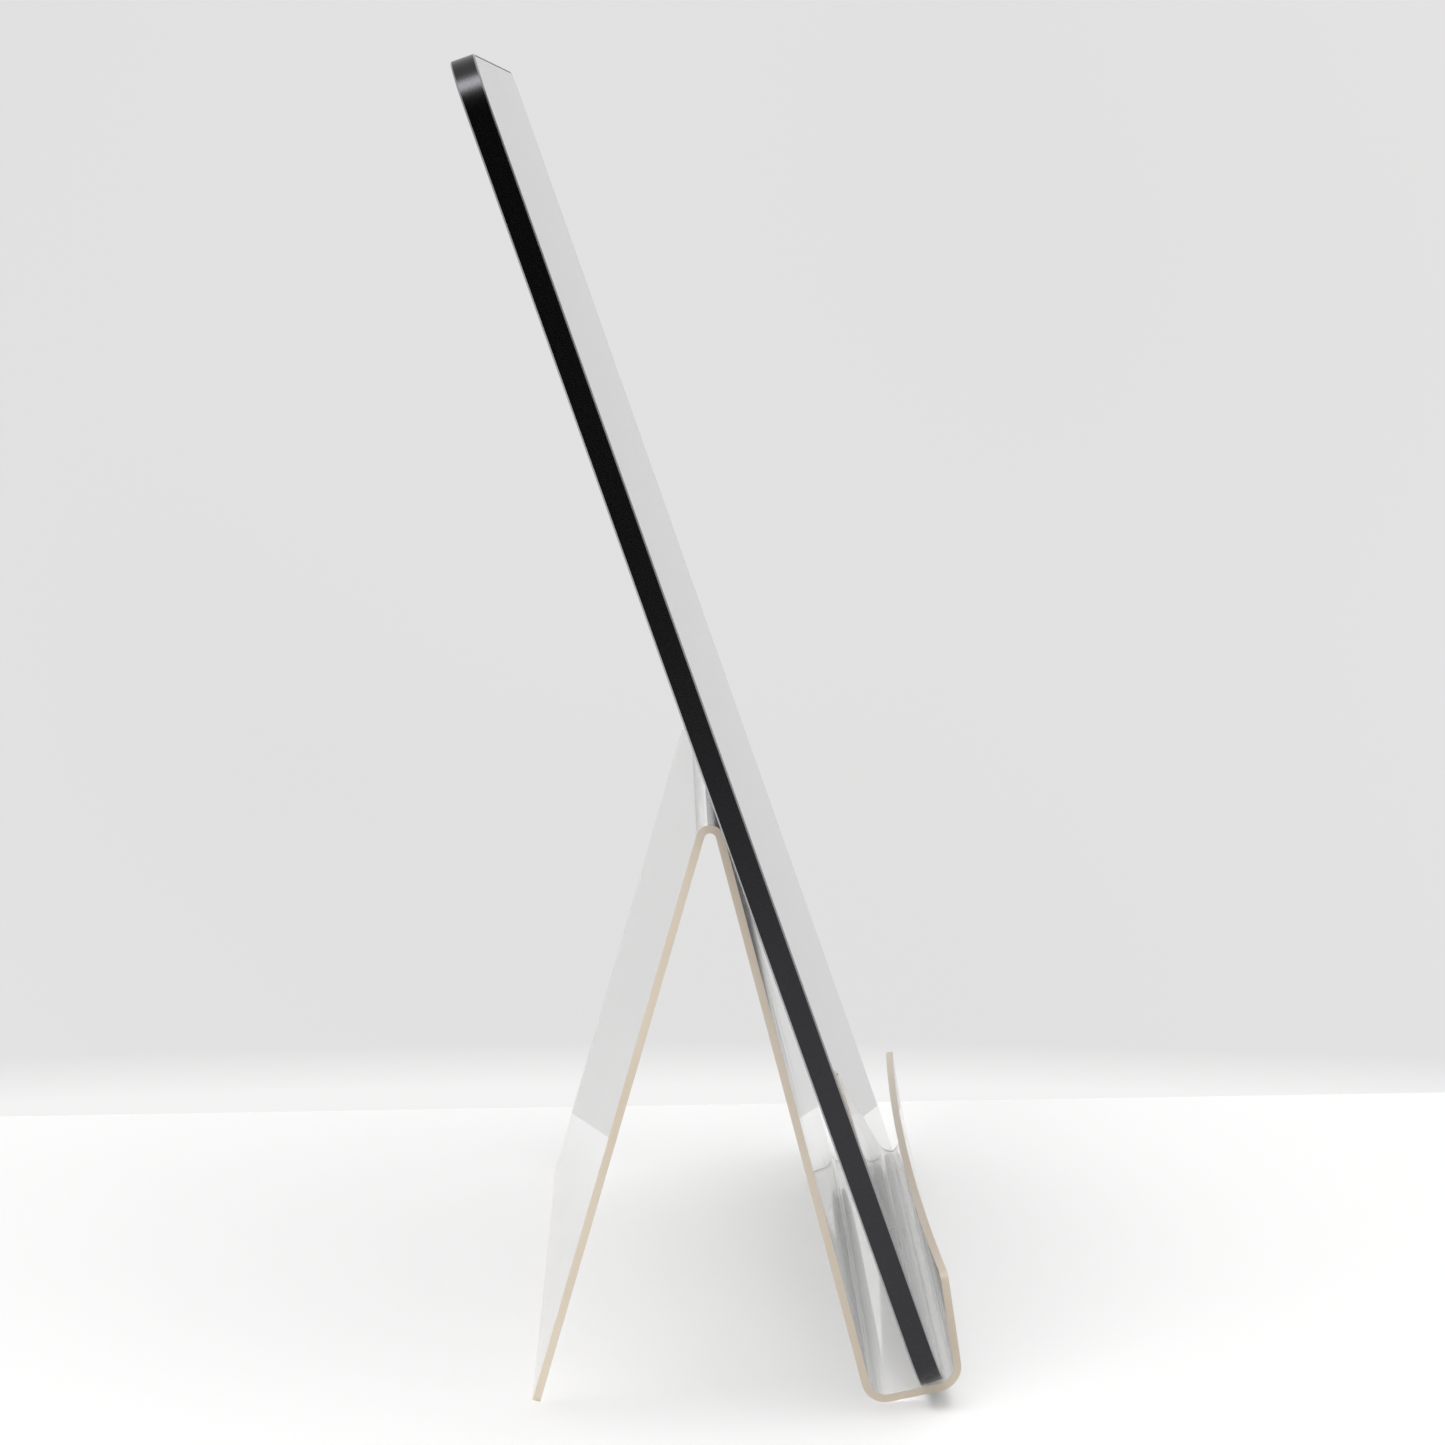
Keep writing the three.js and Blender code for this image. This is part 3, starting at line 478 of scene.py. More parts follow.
black_adhesive = finish("black_adhesive", colour(0.004, 0.004, 0.004), colour(0.008, 0.008, 0.008),
                        0.75, scale=3500.0, bump=0.4)

# %% [markdown]
# The panel is dark all over when it is off. Its picture area is a shade bluer than the black mask
# round it, which only shows close to. A box test on the upright coordinates tells the two apart.

# %% The panel
panel_low, panel_high = display_box("display_panel")
MASK_BORDER = 3 * MM


def inside(tree, value, low, high):
    """1 where a value lies between two limits."""
    return maths(tree, "MULTIPLY", maths(tree, "GREATER_THAN", value, low),
                 maths(tree, "LESS_THAN", value, high))


panel, tree, shader, place = new_material("panel")
parts = add(tree, "ShaderNodeSeparateXYZ", {0: upright(tree, place)}).outputs
picture = maths(
    tree, "MULTIPLY",
    inside(tree, parts["X"], panel_low.x + MASK_BORDER, panel_high.x - MASK_BORDER),
    inside(tree, parts["Z"], panel_low.z + MASK_BORDER, panel_high.z - MASK_BORDER))
cloud = add(tree, "ShaderNodeTexNoise", {"Vector": place, "Scale": 8.0}).outputs["Fac"]
picture_tone = mixed(tree, cloud, colour(0.004, 0.0045, 0.007), colour(0.006, 0.0065, 0.01))
tree.links.new(mixed(tree, picture, colour(0.002, 0.002, 0.002), picture_tone),
               shader.inputs["Base Color"])
tree.links.new(between(tree, picture, 0, 1, 0.5, 0.22), shader.inputs["Roughness"])
shader.inputs["Specular IOR Level"].default_value = 0.15

# %% [markdown]
# ## Clear stuff
#
# The cover glass and the acrylic both let light through. Real light paths do the rest: the sheet
# bends and reflects what is behind it, and the glass turns to a mirror at a flat angle. The
# sheet's sawn edges stay satin, so they scatter light and read as a warm beige line. The acrylic
# is a little hazy from handling and passes slightly less light than the glass does.

# %% Glass and acrylic
def clear(name, tint, dirt, index, smooth, hazy, passing, specks):
    """A clear stuff: handling leaves hazy streaks along it and a few dark specks."""
    material, tree, shader, place = new_material(name)
    shader.inputs["IOR"].default_value = index
    shader.inputs["Transmission Weight"].default_value = passing
    touched = use(tree, marks, {"Vector": place, "Specks": specks, "Scratches": 0.6})["Mask"]
    streaks = use(tree, grain, {"Vector": place, "Scale": 120.0, "Stretch": (1, 0.25, 0.06)})
    haze = maths(tree, "MULTIPLY", between(tree, streaks["Fine"], 0.45, 0.75),
                 between(tree, streaks["Broad"], 0.4, 0.7))
    rough = between(tree, maths(tree, "MAXIMUM", haze, touched), 0, 1, smooth, hazy)
    tree.links.new(mixed(tree, touched, tint, dirt), shader.inputs["Base Color"])
    tree.links.new(rough, shader.inputs["Roughness"])
    return material


GLASS_INDEX = 1.5
ACRYLIC_INDEX = 1.49
clear_glass = clear("clear_glass", tint=colour(0.985, 0.99, 0.99), dirt=colour(0.8, 0.8, 0.8),
                    index=GLASS_INDEX, smooth=0.0, hazy=0.02, passing=1.0, specks=0.012)
acrylic = clear("acrylic", tint=colour(0.975, 0.975, 0.97), dirt=colour(0.2, 0.18, 0.16),
                index=ACRYLIC_INDEX, smooth=0.03, hazy=0.16, passing=0.94, specks=0.08)
guide = clear("guide", tint=colour(0.93, 0.95, 0.95), dirt=colour(0.8, 0.8, 0.8),
              index=ACRYLIC_INDEX, smooth=0.12, hazy=0.3, passing=1.0, specks=0.03)

# %% Sawn edge
acrylic_edge, tree, shader, place = new_material("acrylic_edge")
saw = use(tree, grain, {"Vector": place, "Scale": 700.0, "Stretch": (6, 1, 1)})
tone = mixed(tree, between(tree, saw["Broad"], 0.35, 0.65),
             colour(0.7, 0.6, 0.48), colour(0.78, 0.69, 0.57))
tree.links.new(tone, shader.inputs["Base Color"])
tree.links.new(between(tree, saw["Fine"], 0.3, 0.7, 0.3, 0.5), shader.inputs["Roughness"])
tree.links.new(add(tree, "ShaderNodeBump", {
    "Height": saw["Fine"], "Strength": 0.4, "Distance": 0.00004}).outputs[0],
    shader.inputs["Normal"])
shader.inputs["IOR"].default_value = ACRYLIC_INDEX
shader.inputs["Transmission Weight"].default_value = 0.2

# %% [markdown]
# ## Electronics
#
# The boards, flexes and cells are sealed inside, but they are still real pieces. A green solder
# mask carries lighter tracks and gold pads, an amber flex carries stripes, and the cell's foil is
# slightly crumpled.

# %% Boards and flexes
def circuit_finish():
    material, tree, shader, place = new_material("circuit")
    flat = upright(tree, place)
    tracks = add(tree, "ShaderNodeTexBrick", {
        "Vector": add(tree, "ShaderNodeMapping", {
            "Vector": flat, "Rotation": (math.pi / 2, 0, 0)}).outputs[0],
        "Scale": 90.0, "Mortar Size": 0.045, "Mortar Smooth": 0.1, "Brick Width": 0.9,
        "Row Height": 0.16}, offset=0.37).outputs["Fac"]
    pads = add(tree, "ShaderNodeTexVoronoi", {"Vector": flat, "Scale": 240.0, "Randomness": 0.8},
               distance="CHEBYCHEV").outputs["Distance"]
    pads = maths(tree, "LESS_THAN", pads, 0.17)
    fine = use(tree, grain, {"Vector": flat, "Scale": 2200.0})
    mask = mixed(tree, fine["Broad"], colour(0.008, 0.06, 0.028), colour(0.014, 0.09, 0.042))
    mask = mixed(tree, tracks, mask, colour(0.03, 0.17, 0.08))
    tree.links.new(mixed(tree, pads, mask, colour(0.75, 0.55, 0.22)), shader.inputs["Base Color"])
    tree.links.new(pads, shader.inputs["Metallic"])
    tree.links.new(between(tree, fine["Fine"], 0.3, 0.7, 0.28, 0.42), shader.inputs["Roughness"])
    height = maths(tree, "MAXIMUM", tracks, pads)
    tree.links.new(add(tree, "ShaderNodeBump", {
        "Height": height, "Strength": 0.5, "Distance": 0.00004}).outputs[0],
        shader.inputs["Normal"])
    return material


def striped_finish(name, ground, stripe, pitch, share, roughness):
    """Parallel conductors across X, or light sources along it, over a plain ground."""
    material, tree, shader, place = new_material(name)
    flat = upright(tree, place)
    across = add(tree, "ShaderNodeSeparateXYZ", {0: flat}).outputs["X"]
    teeth = maths(tree, "FRACT", maths(tree, "DIVIDE", across, pitch))
    lines = maths(tree, "LESS_THAN", teeth, share)
    fine = use(tree, grain, {"Vector": flat, "Scale": 2500.0})
    base = mixed(tree, fine["Broad"], ground, tuple(0.8 * part for part in ground[:3]) + (1,))
    tree.links.new(mixed(tree, lines, base, stripe), shader.inputs["Base Color"])
    tree.links.new(between(tree, fine["Fine"], 0.3, 0.7, roughness - 0.06, roughness + 0.06),
                   shader.inputs["Roughness"])
    tree.links.new(add(tree, "ShaderNodeBump", {
        "Height": lines, "Strength": 0.4, "Distance": 0.00002}).outputs[0],
        shader.inputs["Normal"])
    return material


circuit = circuit_finish()
flex = striped_finish("flex", colour(0.42, 0.16, 0.03), colour(0.62, 0.27, 0.07),
                      0.9 * MM, 0.5, 0.38)
LED_COUNT = 24
led = striped_finish("led", colour(0.82, 0.8, 0.72), colour(0.86, 0.68, 0.2),
                     (panel_high.x - panel_low.x) / LED_COUNT, 0.3, 0.35)

# %% Cell foil
cell_foil, tree, shader, place = new_material("cell_foil")
flat = upright(tree, place)
crumple = add(tree, "ShaderNodeTexVoronoi", {"Vector": flat, "Scale": 55.0},
              feature="SMOOTH_F1").outputs["Distance"]
fine = use(tree, grain, {"Vector": flat, "Scale": 1600.0})
tone = mixed(tree, fine["Broad"], colour(0.36, 0.37, 0.39), colour(0.5, 0.51, 0.53))
tree.links.new(tone, shader.inputs["Base Color"])
tree.links.new(between(tree, fine["Fine"], 0.3, 0.7, 0.32, 0.48), shader.inputs["Roughness"])
tree.links.new(add(tree, "ShaderNodeBump", {
    "Height": crumple, "Strength": 0.25, "Distance": 0.0002}).outputs[0], shader.inputs["Normal"])
shader.inputs["Metallic"].default_value = 0.9

# %% [markdown]
# Every node in the frame names a material slot, and each slot has one finish here. A finished
# piece takes its slot's finish, rides on its body and stands in for its CAD nodes.

# %% Give a piece its finish
finishes = {
    "acrylic": acrylic, "black_anodised": black_anodised, "cover_black": cover_black,
    "screw_black": screw_black, "clear_glass": clear_glass, "black_adhesive": black_adhesive,
    "panel": panel, "white_film": white_film, "guide": guide, "led": led,
    "tray_metal": tray_metal, "steel": steel, "circuit": circuit, "flex": flex,
    "cell_foil": cell_foil, "dark_plastic": dark_plastic,
}
node_slots = {part["node"]: part["material_slot"] for part in frame["record"]["subparts"]}
print("finishes:", sorted(finishes))


def place_piece(piece, body, *nodes):
    """Gives a finished piece its finish, its body and the CAD nodes that it stands for."""
    slot = node_slots[nodes[0]]
    if not piece.data.materials:
        piece.data.materials.append(finishes[slot])
    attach(piece, body)
    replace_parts(piece, *nodes)
    print(piece.name, len(piece.data.polygons), "faces")
    return piece


# %% [markdown]
# ## The easel
#
# The easel is one strip of clear sheet, heated along four lines and bent. It could be drawn as a
# section and extruded, but bending it the way the maker does is easier to follow: start with the
# rear leg as a flat strip, spin its end round each bend, and extrude the straight runs between.
# The strip has no thickness yet. The frame says where the foot, the apex, the heel and the toe
# have to come, so each straight run is as long as those need. The lip was bent a little out of
# square, so its top edge climbs from one side of the strip to the other.

# %% Measure the bends
SHEET = 2 * MM
LEG_LEAN, PLATE_LEAN, LEDGE_RISE, LIP_LEAN = 16, 14.7, 12, 8.5
APEX_RADIUS = 1.5 * MM + SHEET / 2
HEEL_RADIUS = 4 * MM + SHEET / 2
TOE_RADIUS = 4.5 * MM + SHEET / 2
LIP_LENGTH = 23.6 * MM
LIP_BOW = 2.8 * MM
LIP_SKEW = 3.9 * MM
SHEET_CORNER = 2 * MM
SAWN_ARRIS = 0.1 * MM
BEND_STEP = 3


def heading(degrees):
    """A step of one metre in the easel's side view, turned up from the +Y axis."""
    return Vector((0, math.cos(math.radians(degrees)), math.sin(math.radians(degrees))))


leg_way = heading(90 + LEG_LEAN)
plate_way = heading(270 - PLATE_LEAN)
ledge_way = heading(180 - LEDGE_RISE)
lip_way = heading(90 - LIP_LEAN)
foot = Vector((0, easel_high.y - math.cos(math.radians(LEG_LEAN)) * SHEET / 2,
               math.sin(math.radians(LEG_LEAN)) * SHEET / 2))
apex_level = easel_high.z - SHEET / 2 - APEX_RADIUS
leg_length = (apex_level + APEX_RADIUS * math.sin(math.radians(LEG_LEAN)) - foot.z) / leg_way.z
leg_top = foot + leg_way * leg_length
apex_centre = leg_top + heading(180 + LEG_LEAN) * APEX_RADIUS
plate_top = apex_centre + heading(180 - PLATE_LEAN) * APEX_RADIUS
heel_level = HEEL_RADIUS + SHEET / 2
plate_length = (plate_top.z - heel_level + HEEL_RADIUS * math.sin(math.radians(PLATE_LEAN))
                ) / -plate_way.z
plate_end = plate_top + plate_way * plate_length
print("leg", leg_length / MM, "plate", plate_length / MM)

# %% [markdown]
# The heel's bend stands on the table, and the toe's bend reaches furthest forward. So the heel's
# centre is one outer radius up, and the ledge is as long as the toe's place leaves it.

# %% Measure the ledge
heel_centre = plate_end + heading(180 - PLATE_LEAN) * HEEL_RADIUS
ledge_start = heel_centre - heading(90 - LEDGE_RISE) * HEEL_RADIUS
toe_place = easel_low.y + TOE_RADIUS + SHEET / 2
ledge_run = ledge_start.y + heading(90 - LEDGE_RISE).y * TOE_RADIUS - toe_place
ledge_length = ledge_run / -ledge_way.y
toe_centre = (ledge_start + ledge_way * ledge_length
              + heading(90 - LEDGE_RISE) * TOE_RADIUS)
print("ledge", ledge_length / MM, "heel centre", heel_centre / MM, "toe centre", toe_centre / MM)

# %% Bend the strip
easel_width = easel_high.x - easel_low.x
easel_middle = (easel_low.x + easel_high.x) / 2
bpy.ops.object.select_all(action="DESELECT")
bpy.ops.mesh.primitive_plane_add(
    size=1, location=(foot + leg_top) / 2 + Vector((easel_middle, 0, 0)),
    rotation=(math.radians(90 + LEG_LEAN), 0, 0), scale=(1, 1, 1))
easel_sheet = only(bpy.context.object)
easel_sheet.name = easel_sheet.data.name = "easel_sheet"
easel_sheet.scale = (easel_width, leg_length, 1)
bpy.ops.object.transform_apply(location=True, rotation=True, scale=True)


def bend(centre, degrees):
    """Spins the selected end of the strip round a bend. The operator turns clockwise."""
    bpy.ops.mesh.spin(steps=round(abs(degrees) / BEND_STEP), angle=-math.radians(degrees),
                      center=centre, axis=(1, 0, 0))


def run_on(way, length):
    bpy.ops.mesh.extrude_region_move(TRANSFORM_OT_translate={"value": way * length})


pick(easel_sheet, "EDGE", lambda edge: all((v.co - leg_top).z > -NEAR for v in edge.verts))
bend(apex_centre, 180 - LEG_LEAN - PLATE_LEAN)
run_on(plate_way, plate_length)
bend(heel_centre, -(90 + LEDGE_RISE - PLATE_LEAN))
run_on(ledge_way, ledge_length)
bend(toe_centre, -(90 - LEDGE_RISE + LIP_LEAN))
run_on(lip_way, LIP_LENGTH)
done(easel_sheet)
lip_root = toe_centre + heading(180 - LIP_LEAN) * TOE_RADIUS
print("strip faces:", len(easel_sheet.data.polygons))

# %% [markdown]
# The lip isn't flat: its middle bows towards the display, most at the top edge, as a thin sheet
# does when it cools with its ends free. The strip is first divided across and the lip is divided
# upwards, so that there is something to bow. Then the four free corners are rounded, and only then
# does the strip get its thickness. Solidify gives the sawn edges their own material, and a tiny
# arris takes off their sharpness. The sheet casts no shadow here, because the renderer would make
# it nearly opaque to the lights, where a clear sheet passes most of their light on.

# %% Divide, bow, round and thicken
ACROSS, UPWARDS = 27, 7
END_OF_LIP = 0.01
TOP_OF_LIP = 0.98
SHARP = math.radians(60)
pick(easel_sheet, "EDGE", runs_along(0))
bpy.ops.mesh.subdivide(number_cuts=ACROSS)
done(easel_sheet)


def up_the_lip(point):
    """How far a point is up the lip: 0 at its root and 1 at its top edge."""
    return (point - lip_root).dot(lip_way) / LIP_LENGTH


def is_lip_side(edge):
    ends = sorted(up_the_lip(Vector((0, v.co.y, v.co.z))) for v in edge.verts)
    front = all(v.co.y < toe_centre.y for v in edge.verts)
    return front and abs(ends[0]) < END_OF_LIP and abs(ends[1] - 1) < END_OF_LIP


print("lip edges:", pick(easel_sheet, "EDGE", is_lip_side))
bpy.ops.mesh.subdivide(number_cuts=UPWARDS)
done(easel_sheet)
for vertex in easel_sheet.data.vertices:
    rise = up_the_lip(Vector((0, vertex.co.y, vertex.co.z)))
    if vertex.co.y < toe_centre.y and rise > 0:
        across = (vertex.co.x - easel_middle) / (easel_width / 2)
        vertex.co.y += LIP_BOW * (1 - across ** 2) * rise ** 2
        vertex.co += lip_way * LIP_SKEW * (across + 1) / 2 * rise


def is_free_corner(vertex):
    at_side = abs(abs(vertex.co.x - easel_middle) - easel_width / 2) < NEAR
    at_foot = (vertex.co - foot).dot(leg_way) < NEAR
    rise = up_the_lip(Vector((0, vertex.co.y, vertex.co.z)))
    at_top = vertex.co.y < toe_centre.y and rise > TOP_OF_LIP
    return at_side and (at_foot or at_top)


print("free corners:", pick(easel_sheet, "VERT", is_free_corner))
bpy.ops.mesh.bevel(offset=SHEET_CORNER, segments=6, affect="VERTICES", clamp_overlap=False)
done(easel_sheet)
easel_sheet.data.materials.append(acrylic)
easel_sheet.data.materials.append(acrylic_edge)
use_modifier(easel_sheet, "SOLIDIFY", thickness=SHEET, offset=0, use_even_offset=True,
             material_offset_rim=1)
use_modifier(easel_sheet, "BEVEL", width=SAWN_ARRIS, segments=2, limit_method="ANGLE",
             angle_limit=SHARP)
tidy(easel_sheet)
easel_sheet.visible_shadow = False
place_piece(easel_sheet, "easel", "easel")

# %% [markdown]
# ## The rim
#
# The rim is one aluminium frame, milled from the front for the glass and from the rear for the
# boards, which leaves a thin web between the two pockets. It starts as a block. Rounding its four
# long edges, chamfering both faces, and insetting and pushing in each face follows the cutter. The
# chamfers take a lighter metal, which is a painted highlight line. The walls are then divided along
# their height, because a cut through one very long face can leave its holes covered.

# %% Mill the rim
CORNER = 14.5 * MM
CHAMFER = 0.4 * MM
RIM_WALL = 1.8 * MM
FRONT_LIP = 0.5 * MM
WEB = 1.0 * MM
FIT = 0.2 * MM
GAP = 0.1 * MM
SLIDE = 0.15 * MM
rim_low, rim_high = display_box("rim_frame")
glass_low, glass_high = display_box("cover_glass")
cover_low, cover_high = display_box("rear_cover")
tape_back = display_box("glass_adhesive")[1].y
web_front = tape_back + GAP
web_back = web_front + WEB
OVERSHOOT = 1 * MM
WALL_STEPS = 47
HIGHLIGHT_SLOT = 1

rim = slab("rim", rim_low, rim_high, CORNER, segments=28)
rim.data.materials.append(black_anodised)
rim.data.materials.append(painted_highlight_chamfer)
# The chamfers take the lighter metal slot, a painted highlight line along the rim's edges.
bevel(rim, lambda edge: lies_at(1, rim_low.y)(edge) or lies_at(1, rim_high.y)(edge), CHAMFER, 2,
      material=HIGHLIGHT_SLOT)
for way, level, wall in ((-1, web_front, FRONT_LIP), (1, web_back, RIM_WALL)):
    pick(rim, "FACE", faces_towards((0, way, 0)))
    bpy.ops.mesh.inset(thickness=wall - CHAMFER)
    face_level = rim_low.y if way < 0 else rim_high.y
    bpy.ops.mesh.extrude_region_move(
        TRANSFORM_OT_translate={"value": (0, level - face_level, 0)})
    done(rim)
pick(rim, "EDGE", runs_along(2))
bpy.ops.mesh.subdivide(number_cuts=WALL_STEPS)
done(rim)
print("web from", web_front / MM, "to", web_back / MM)

# %% [markdown]
# The picture shows through a window in the web. Eight bosses stand on the web for the cover's
# screws: one is modelled and copied, and so is the cutter for their pilot holes.

# %% Window and bosses
FLEX_ROOM = 2.5 * MM
BOSS_RADIUS = 2.4 * MM
PILOT_RADIUS = 0.85 * MM
SCREW_COUNT = 8
screw_places = []
for index in range(1, SCREW_COUNT + 1):
    low, high = display_box(f"cover_screw_{index}")
    screw_places.append((low + high) / 2)
first_screw = screw_places[0]
window = block("window", (panel_low.x - FIT, rim_low.y - OVERSHOOT, panel_low.z - FLEX_ROOM),
               (panel_high.x + FIT, rim_high.y + OVERSHOOT, panel_high.z + FIT))
combine(rim, window)


def at_screws(pattern):
    """A piece modelled at the first screw, copied to all the others and joined."""
    copies = [copy_of(pattern, pattern.name, place - first_screw)
              for place in screw_places[1:]]
    return joined([pattern, *copies])


boss = rod("boss", (first_screw.x, web_back - GAP, first_screw.z),
           (first_screw.x, cover_low.y - GAP, first_screw.z), BOSS_RADIUS)
combine(rim, at_screws(boss), "UNION")
pilot = rod("pilot", (first_screw.x, web_back + GAP, first_screw.z),
            (first_screw.x, OVERSHOOT, first_screw.z), PILOT_RADIUS, 24)

# %% [markdown]
# The mouth and the slots are round-ended bars that run through the right wall. The right wall is
# cut together with the screws' pilot holes.

# %% Socket mouth and button slots
socket_low, socket_high = display_box("usb_c_shell")
mouth = bar("mouth", (socket_low.x - FIT, socket_low.y - SLIDE, socket_low.z - SLIDE),
            (rim_high.x + OVERSHOOT, socket_high.y + SLIDE, socket_high.z + SLIDE))
BUTTON_HEIGHT = 2.2 * MM
BUTTON_LENGTH = 12 * MM
slots = []
for name in ("picture_button", "power_button"):
    low, high = display_box(name)
    middle = (low + high) / 2
    slots.append(bar("slot", (rim_high.x - RIM_WALL - OVERSHOOT, middle.y - BUTTON_HEIGHT / 2 - SLIDE,
                              middle.z - BUTTON_LENGTH / 2 - SLIDE),
                     (rim_high.x + OVERSHOOT, middle.y + BUTTON_HEIGHT / 2 + SLIDE,
                      middle.z + BUTTON_LENGTH / 2 + SLIDE)))
combine(rim, joined([at_screws(pilot), mouth, *slots]))
tidy(rim)
lean_back(rim)
place_piece(rim, "display", "rim_frame")

# %% [markdown]
# ## Glass and rear cover
#
# Both are thin plates that drop into the rim's pockets. The glass lies flush with the rim's front
# and has its edges broken by polishing. The rear cover is sunk for its screws and slotted over the
# loudspeakers, so that the sound gets out.

# %% Cover glass
POLISHED_EDGE = 0.12 * MM
glass_low.y = rim_low.y
glass_corner = CORNER - (glass_low.x - rim_low.x)
glass_plate = slab("glass_plate", glass_low, glass_high, glass_corner, segments=28)
bevel(glass_plate,
      lambda edge: lies_at(1, glass_low.y)(edge) or lies_at(1, glass_high.y)(edge),
      POLISHED_EDGE, 2)
tidy(glass_plate)
lean_back(glass_plate)
place_piece(glass_plate, "display", "cover_glass")

# %% Rear cover
SCREW_HEAD, SCREW_SHANK = 1.5 * MM, 0.7 * MM
SPEAKER_SLOTS, SLOT_WIDTH, SLOT_LENGTH = 9, 1.1 * MM, 6 * MM
cover_corner = CORNER - (cover_low.x - rim_low.x)
cover_plate = slab("cover_plate", cover_low, cover_high, cover_corner, segments=28)
bevel(cover_plate, lies_at(1, cover_high.y), POLISHED_EDGE, 2)
sink = rod("sink", (first_screw.x, cover_high.y + OVERSHOOT, first_screw.z),
           (first_screw.x, cover_low.y - OVERSHOOT, first_screw.z), SCREW_SHANK + SLIDE)
pick(sink, "FACE", faces_towards((0, 1, 0)))
bpy.ops.transform.translate(value=(0, cover_low.y + GAP - cover_high.y - OVERSHOOT, 0))
widen = (SCREW_HEAD + SLIDE) / (SCREW_SHANK + SLIDE)
bpy.ops.mesh.extrude_region_move(
    TRANSFORM_OT_translate={"value": (0, cover_high.y - cover_low.y - 2 * GAP, 0)})
bpy.ops.transform.resize(value=(widen, 1, widen),
                         center_override=(first_screw.x, cover_high.y - GAP, first_screw.z))
bpy.ops.mesh.extrude_region_move(TRANSFORM_OT_translate={"value": (0, OVERSHOOT, 0)})
done(sink)
cutters = [at_screws(sink)]
for side in ("left", "right"):
    low, high = display_box(f"speaker_{side}")
    middle = (low + high) / 2
    pitch = (high.x - low.x) / (SPEAKER_SLOTS + 1)
    slot = bevel(block("sound_slot", (low.x + pitch - SLOT_WIDTH / 2, cover_low.y - OVERSHOOT,
                                      middle.z - SLOT_LENGTH / 2),
                       (low.x + pitch + SLOT_WIDTH / 2, cover_high.y + OVERSHOOT,
                        middle.z + SLOT_LENGTH / 2)),
                 runs_along(1), SLOT_WIDTH * ALMOST_HALF, 6)
    cutters += [slot, *(copy_of(slot, "sound_slot", Vector((pitch * step, 0, 0)))
                        for step in range(1, SPEAKER_SLOTS))]
combine(cover_plate, joined(cutters))
tidy(cover_plate)
lean_back(cover_plate)
place_piece(cover_plate, "display", "rear_cover")

# %% [markdown]
# ## Cover screws
#
# One tiny countersunk screw is modelled and copied eight times. Its thread is a run of extrusions
# that go out and in by turns, and a cross is cut into its head.

# %% Turn one screw
screw_low, screw_high = display_box("cover_screw_1")
HEAD_RIM = 0.1 * MM
CONE = 0.4 * MM
THREAD_PITCH = 0.3 * MM
THREAD_DEPTH = 0.1 * MM


def extrude_ring(depth, scale):
    """Extrudes the selected end of a turned piece inwards and scales it round its axis."""
    bpy.ops.mesh.extrude_region_move(TRANSFORM_OT_translate={"value": (0, -depth, 0)})
    bpy.ops.transform.resize(value=(scale, 1, scale), center_override=first_screw)


screw = rod("screw", (first_screw.x, screw_high.y, first_screw.z),
            (first_screw.x, screw_high.y - HEAD_RIM, first_screw.z), SCREW_HEAD, 24)
pick(screw, "FACE", faces_towards((0, -1, 0)))
extrude_ring(CONE, SCREW_SHANK / SCREW_HEAD)
root = (SCREW_SHANK - THREAD_DEPTH) / SCREW_SHANK
turns = int((screw_high.y - HEAD_RIM - CONE - screw_low.y - THREAD_PITCH) / THREAD_PITCH)
for _ in range(turns):
    extrude_ring(THREAD_PITCH / 2, root)
    extrude_ring(THREAD_PITCH / 2, 1 / root)
last_step = screw_high.y - HEAD_RIM - CONE - turns * THREAD_PITCH - screw_low.y
extrude_ring(last_step, root)
done(screw)
ARM, ARM_WIDTH, RECESS = 0.85 * MM, 0.18 * MM, 0.3 * MM
arms = [
    block("arm", (first_screw.x - length, screw_high.y - RECESS, first_screw.z - width),
          (first_screw.x + length, screw_high.y + OVERSHOOT, first_screw.z + width))
    for length, width in ((ARM, ARM_WIDTH), (ARM_WIDTH, ARM))
]
for arm in arms:
    combine(screw, arm)
tidy(screw)
lean_back(screw)
screws = [screw] + [copy_of(screw, "screw", stand.to_3x3() @ (place - first_screw))
                    for place in screw_places[1:]]
for index, piece in enumerate(screws, 1):
    piece.name = piece.data.name = f"screw_{index}"
    place_piece(piece, "display", f"cover_screw_{index}")

# %% [markdown]
# ## Buttons and socket
#
# Each button is a round-ended cap on a wider flange, which keeps it from falling out. The cap's
# rim is rounded where a finger meets it. The socket is a drawn steel shell with a tongue inside,
# and the tongue carries rows of gold contacts.

# %% Buttons
CAP_ROUND = 0.3 * MM
FLANGE = 1.1 * MM


def button(name):
    low, high = display_box(f"{name}_button")
    middle = (low + high) / 2
    flange = bar("flange", low, (low.x + FLANGE, high.y, high.z))
    cap = bar(f"{name}_cap",
              (low.x + FIT, middle.y - BUTTON_HEIGHT / 2, middle.z - BUTTON_LENGTH / 2),
              (high.x, middle.y + BUTTON_HEIGHT / 2, middle.z + BUTTON_LENGTH / 2))
    bevel(cap, lies_at(0, high.x), CAP_ROUND, 4)
    return tidy(combine(cap, flange, "UNION"))


for name in ("picture", "power"):
    place_piece(lean_back(button(name)), f"{name}_button", f"{name}_button")

